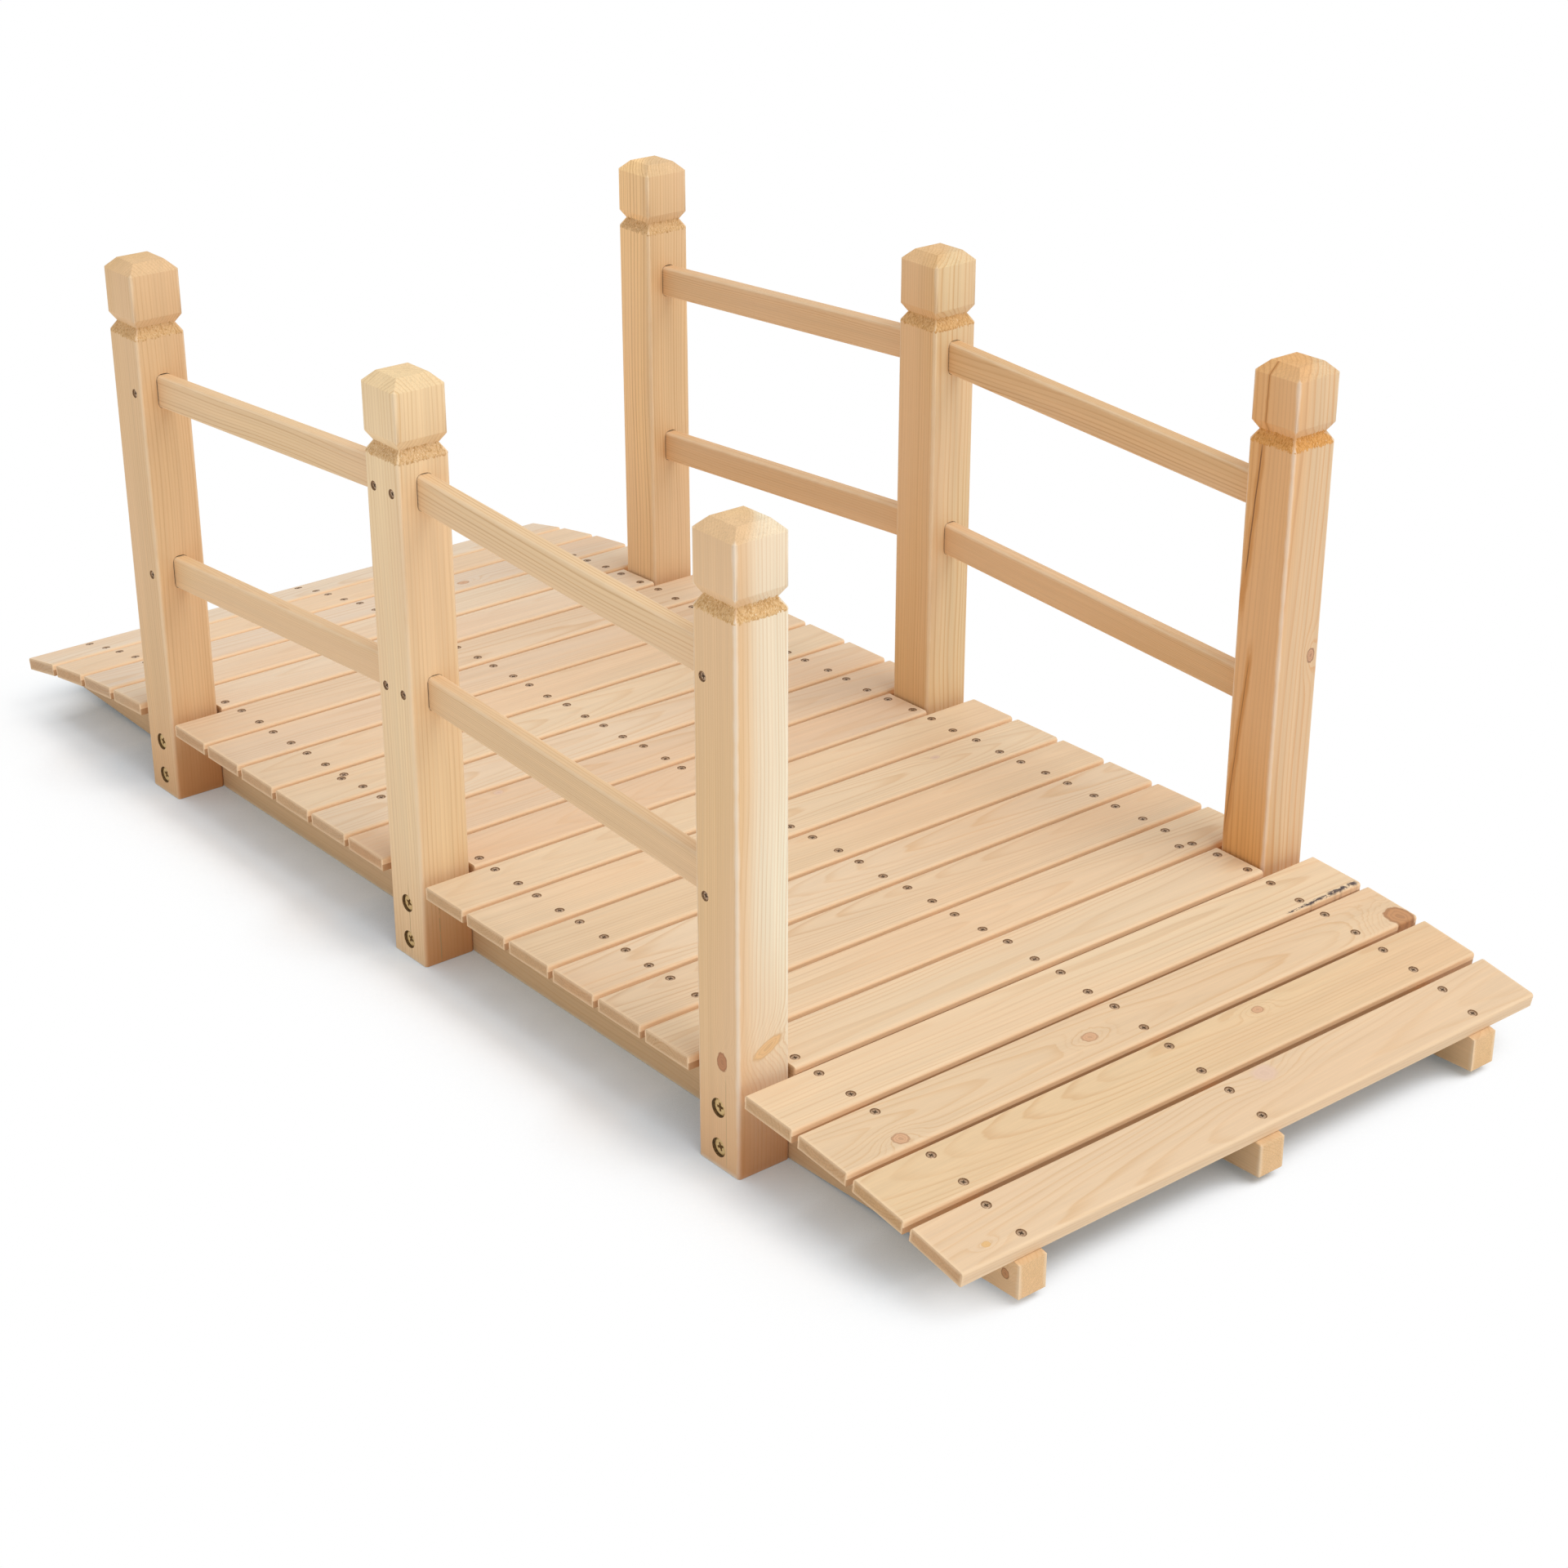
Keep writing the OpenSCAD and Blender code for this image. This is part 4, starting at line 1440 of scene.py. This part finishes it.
class BRIDGE_OT_screws(Operator):
    """Sets the deck's and the rails' screws in their countersinks"""

    bl_idname = "bridge.screws"
    bl_label = "Screws"

    def execute(self, context):
        fasteners = context.scene.bridge_fasteners
        steel = metal_material("screw_steel", fasteners.steel, STEEL_FILM, STEEL_METALLIC)
        recess = recess_shade_material("cross_recess_shade", *SCREW_CROSS_SHADE)
        radius = fasteners.head_d / 2
        head = cross_head(
            radius, rim=0.5 * MM, cross=0.62 * radius, cross_depth=1.3 * MM,
            shank=1.6 * MM, shank_depth=2.2 * MM)
        rng = random.Random("screws")
        deck = bmesh.new()
        for name in SLATS:
            bm = packed_timber(name)
            top, normal = slat_face(bm)
            bm.free()
            for place in screw_places(name, top, normal):
                self.drive(deck, head, place, normal, rng, fasteners.head_sunk)
        finish_piece(deck, "slat_screws", [steel, recess])
        side = bmesh.new()
        for places in rail_screws().values():
            for place, normal in places:
                self.drive(side, head, place, normal, rng, fasteners.head_sunk * RAIL_SCREW_SUNK)
        finish_piece(side, "rail_screws", [steel, recess])
        return {"FINISHED"}

    def drive(self, bm, head, place, normal, rng, sunk):
        """Sets one screw, turned by chance and leaning a little."""
        lean = Vector([rng.uniform(-SCREW_LEAN, SCREW_LEAN) for _ in range(3)])
        stamp(bm, head, standing(place - normal * sunk, normal + lean, rng.uniform(0, math.pi)))


def bolt_places():
    """Places and outward sides of the bolts on the posts' outer faces."""
    gap = bpy.context.scene.bridge_fasteners.bolt_gap
    for name in POSTS:
        middle, half = box_of(name)
        out = math.copysign(1, middle.y)
        for way in (-1, 1):
            place = Vector((middle.x, middle.y + out * half.y, RUNNER_TOP / 2 + way * gap / 2))
            yield place, Vector((0, out, 0)), name


# The nut, its washer and the end of the bolt
NUT_H = 5 * MM
NUT_CHAMFER = 0.7 * MM
WASHER_H = 1.4 * MM
WASHER_D = 16 * MM
BOLT_END = 3 * MM
BOLT_CHAMFER = 0.5 * MM


def nut_mesh(width, shank):
    """A hexagon nut on its washer, with the bolt's end standing out of it."""
    bm = bmesh.new()
    bmesh.ops.create_cone(
        bm, cap_ends=True, segments=28, radius1=WASHER_D / 2, radius2=WASHER_D / 2, depth=WASHER_H,
        matrix=Matrix.Translation((0, 0, WASHER_H / 2)))
    start = len(bm.verts)
    bmesh.ops.create_cone(
        bm, cap_ends=True, segments=6, radius1=width / 2, radius2=width / 2, depth=NUT_H,
        matrix=Matrix.Translation((0, 0, WASHER_H + NUT_H / 2)))
    bm.verts.ensure_lookup_table()
    crown = [v for v in bm.verts[start:] if v.co.z > WASHER_H + NUT_H / 2]
    rims = [edge for edge in bm.edges if all(v in crown for v in edge.verts)]
    bmesh.ops.bevel(bm, geom=rims, offset=NUT_CHAMFER, segments=2, profile=0.5, affect="EDGES", material=-1)
    bmesh.ops.create_cone(
        bm, cap_ends=True, segments=20, radius1=shank / 2, radius2=shank / 2 - BOLT_CHAMFER, depth=BOLT_END,
        matrix=Matrix.Translation((0, 0, WASHER_H + NUT_H + BOLT_END / 2)))
    bmesh.ops.recalc_face_normals(bm, faces=bm.faces)
    mesh = bpy.data.meshes.new("nut")
    bm.to_mesh(mesh)
    bm.free()
    return mesh


class BRIDGE_OT_bolts(Operator):
    """Bolts the posts to the side runners, with nuts and washers inside"""

    bl_idname = "bridge.bolts"
    bl_label = "Bolts"

    def execute(self, context):
        fasteners = context.scene.bridge_fasteners
        plating = metal_material("bolt_plating", fasteners.brass, BRASS_FILM, BRASS_METALLIC)
        recess = recess_shade_material("bolt_cross_shade", *BOLT_CROSS_SHADE)
        radius = fasteners.bolt_head_d / 2
        head = cross_head(
            radius, rim=1.6 * MM, cross=0.5 * radius, cross_depth=2.4 * MM,
            shank=fasteners.shank_d / 2, shank_depth=4 * MM)
        nut = nut_mesh(fasteners.nut_w, fasteners.shank_d)
        rng = random.Random("bolts")
        heads, nuts = bmesh.new(), bmesh.new()
        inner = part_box("runner_left")[1].y
        for place, out, _ in bolt_places():
            stamp(heads, head, standing(place - out * fasteners.bolt_sunk, out, rng.uniform(0, math.pi)))
            behind = Vector((place.x, math.copysign(inner, place.y), place.z))
            stamp(nuts, nut, standing(behind, -out, rng.uniform(0, math.pi)))
        finish_piece(heads, "post_bolts", [plating, recess])
        finish_piece(nuts, "bolt_nuts", [plating])
        return {"FINISHED"}


# Half the floor's side, how far it lies under the bridge, and its roughness
FLOOR_HALF = 30
FLOOR_DROP = 0.3 * MM
FLOOR_ROUGH = 0.95
# How open the floor has to be to lose its shade, and the light that is left where it is closed in
SHADE_OPEN = 0.5
SHADE_LEFT = 0.42
# How open the floor has to be for its white to start and to be full
WHITE_OPEN = (0.55, 0.93)
# Where the floor by the deck's near and far left tips turns bright, along X and along Y, and how much
NEAR_TIP = (0.645, 0.72)
FAR_TIP = (-0.665, -0.735)
TIP_SIDE = (-0.22, -0.33)
TIP_WHITE = 0.65
SENSOR_W = 36


class BRIDGE_OT_stage(Operator):
    """Sets the pale floor, the soft light and the camera"""

    bl_idname = "bridge.stage"
    bl_label = "Stage"

    def execute(self, context):
        stage = context.scene.bridge_stage
        context.scene.view_settings.view_transform = "Standard"
        self.floor(stage)
        self.sky(context.scene, stage)
        self.sun(context.scene, stage)
        self.camera(context.scene, stage)
        return {"FINISHED"}

    def floor(self, stage):
        """A wide plain floor just under the bridge."""
        material, tree, shader, seen = new_material("floor")
        shade = noise_at(tree, seen["Object"], (1.5, 1.5, 1.5))[0]
        pale = scaled(tree, stage.floor_colour[:3], maths(tree, "MULTIPLY_ADD", shade, 0.01, 0.995))
        near = self.openness(tree, stage, stage.shade_reach)
        cool = blend(tree, near, stage.floor_shade[:], pale)
        lit = step(tree, near, 0.0, SHADE_OPEN)
        closed_in = maths(tree, "MULTIPLY_ADD", lit, 1 - SHADE_LEFT, SHADE_LEFT)
        feed(tree, shader.inputs["Base Color"], scaled(tree, cool, closed_in))
        glow = add_node(tree, "Emission", {"Color": (1, 1, 1, 1), "Strength": 1.0})
        open_floor = self.openness(tree, stage, stage.glow_reach)
        white = maths(tree, "MAXIMUM", step(tree, open_floor, *WHITE_OPEN), stage.floor_glow)
        tips = maths(tree, "MULTIPLY", self.by_tips(tree, seen["Object"]), TIP_WHITE)
        white = maths(tree, "MAXIMUM", white, tips)
        seen_share = maths(tree, "MULTIPLY", add_node(tree, "LightPath").outputs["Is Camera Ray"], white)
        mixed = add_node(tree, "MixShader", {0: seen_share, 1: shader.outputs[0], 2: glow.outputs[0]})
        feed(tree, tree.nodes["Material Output"].inputs["Surface"], mixed.outputs[0])
        shader.inputs["Roughness"].default_value = FLOOR_ROUGH
        shader.inputs["Specular IOR Level"].default_value = 0.0
        bm = bmesh.new()
        drop = Matrix.Translation((0, 0, -FLOOR_DROP))
        bmesh.ops.create_grid(bm, x_segments=1, y_segments=1, size=FLOOR_HALF, matrix=drop)
        new_object(bm, "floor", [material])

    def by_tips(self, tree, place):
        """Mask of the floor by the deck's two left tips, where the light gets under the slats."""
        parts = split(tree, place)
        ends = maths(tree, "ADD", step(tree, parts["X"], *NEAR_TIP), step(tree, parts["X"], *FAR_TIP))
        return maths(tree, "MULTIPLY", ends, step(tree, parts["Y"], *TIP_SIDE))

    def openness(self, tree, stage, reach):
        """How open the floor is towards the shade's bright side, out to a reach."""
        side = vectors(tree, "NORMALIZE", stage.shade_side[:])
        made = add_node(tree, "AmbientOcclusion", {"Distance": reach, "Normal": side}, samples=8)
        return made.outputs["AO"]

    def sky(self, scene, stage):
        """Even white light, which the camera and shiny things see as plain white."""
        scene.world = bpy.data.worlds.new("sky")
        scene.world.use_nodes = True
        tree = scene.world.node_tree
        tree.nodes.clear()
        path = add_node(tree, "LightPath").outputs
        seen = maths(tree, "MAXIMUM", path["Is Camera Ray"], path["Is Glossy Ray"])
        seen = maths(tree, "MAXIMUM", seen, path["Is Transmission Ray"])
        light = add_node(tree, "Background", {"Color": (1, 1, 1, 1), "Strength": stage.sky})
        white = add_node(tree, "Background", {"Color": (1, 1, 1, 1), "Strength": 1.0})
        mixed = add_node(tree, "MixShader", {0: seen, 1: light.outputs[0], 2: white.outputs[0]})
        add_node(tree, "OutputWorld", {"Surface": mixed.outputs[0]})

    def sun(self, scene, stage):
        """A wide soft lamp above the near end."""
        lamp = bpy.data.lights.new("soft_sun", "SUN")
        lamp.energy = stage.sun
        lamp.angle = stage.sun_spread
        made = bpy.data.objects.new("soft_sun", lamp)
        made.rotation_euler = Vector(stage.sun_from).to_track_quat("Z", "Y").to_euler()
        scene.collection.objects.link(made)

    def camera(self, scene, stage):
        """The camera at the photograph's viewpoint, for a square image."""
        data = bpy.data.cameras.new("camera")
        data.sensor_fit = "HORIZONTAL"
        data.sensor_width = SENSOR_W
        data.lens = stage.lens
        turn, dip = stage.camera_turn, stage.camera_dip
        ahead = Vector((math.cos(dip) * math.cos(turn), math.cos(dip) * math.sin(turn), -math.sin(dip)))
        made = bpy.data.objects.new("camera", data)
        made.location = stage.camera_place
        made.rotation_euler = ahead.to_track_quat("-Z", "Y").to_euler()
        scene.collection.objects.link(made)
        scene.camera = made


STEPS = (
    BRIDGE_OT_groups, BRIDGE_OT_slats, BRIDGE_OT_posts, BRIDGE_OT_runners, BRIDGE_OT_rails,
    BRIDGE_OT_grooves, BRIDGE_OT_screws, BRIDGE_OT_bolts, BRIDGE_OT_stage,
)
SETTINGS = (
    ("bridge_timber", BridgeTimber), ("bridge_fasteners", BridgeFasteners), ("bridge_stage", BridgeStage),
)


class BRIDGE_PT_build(Panel):
    """Lists the settings and the steps of the bridge"""

    bl_idname = "BRIDGE_PT_build"
    bl_label = "Garden Bridge"
    bl_space_type = "VIEW_3D"
    bl_region_type = "UI"
    bl_category = PANEL_TAB

    def draw(self, context):
        for name, group in SETTINGS:
            box = self.layout.box()
            box.label(text=group.__doc__)
            for field in group.__annotations__:
                box.prop(getattr(context.scene, name), field)
        for operator in STEPS:
            self.layout.operator(operator.bl_idname)


def register():
    """Registers the settings, the steps and the panel."""
    for name, group in SETTINGS:
        bpy.utils.register_class(group)
        setattr(bpy.types.Scene, name, PointerProperty(type=group))
    for each in (*STEPS, BRIDGE_PT_build):
        bpy.utils.register_class(each)


def unregister():
    """Removes the panel, the steps and the settings."""
    for each in (BRIDGE_PT_build, *reversed(STEPS)):
        bpy.utils.unregister_class(each)
    for name, group in reversed(SETTINGS):
        delattr(bpy.types.Scene, name)
        bpy.utils.unregister_class(group)


def main():
    """Builds the whole bridge."""
    register()
    for operator in STEPS:
        group, name = operator.bl_idname.split(".")
        getattr(getattr(bpy.ops, group), name)()


if __name__ == "__main__":
    main()
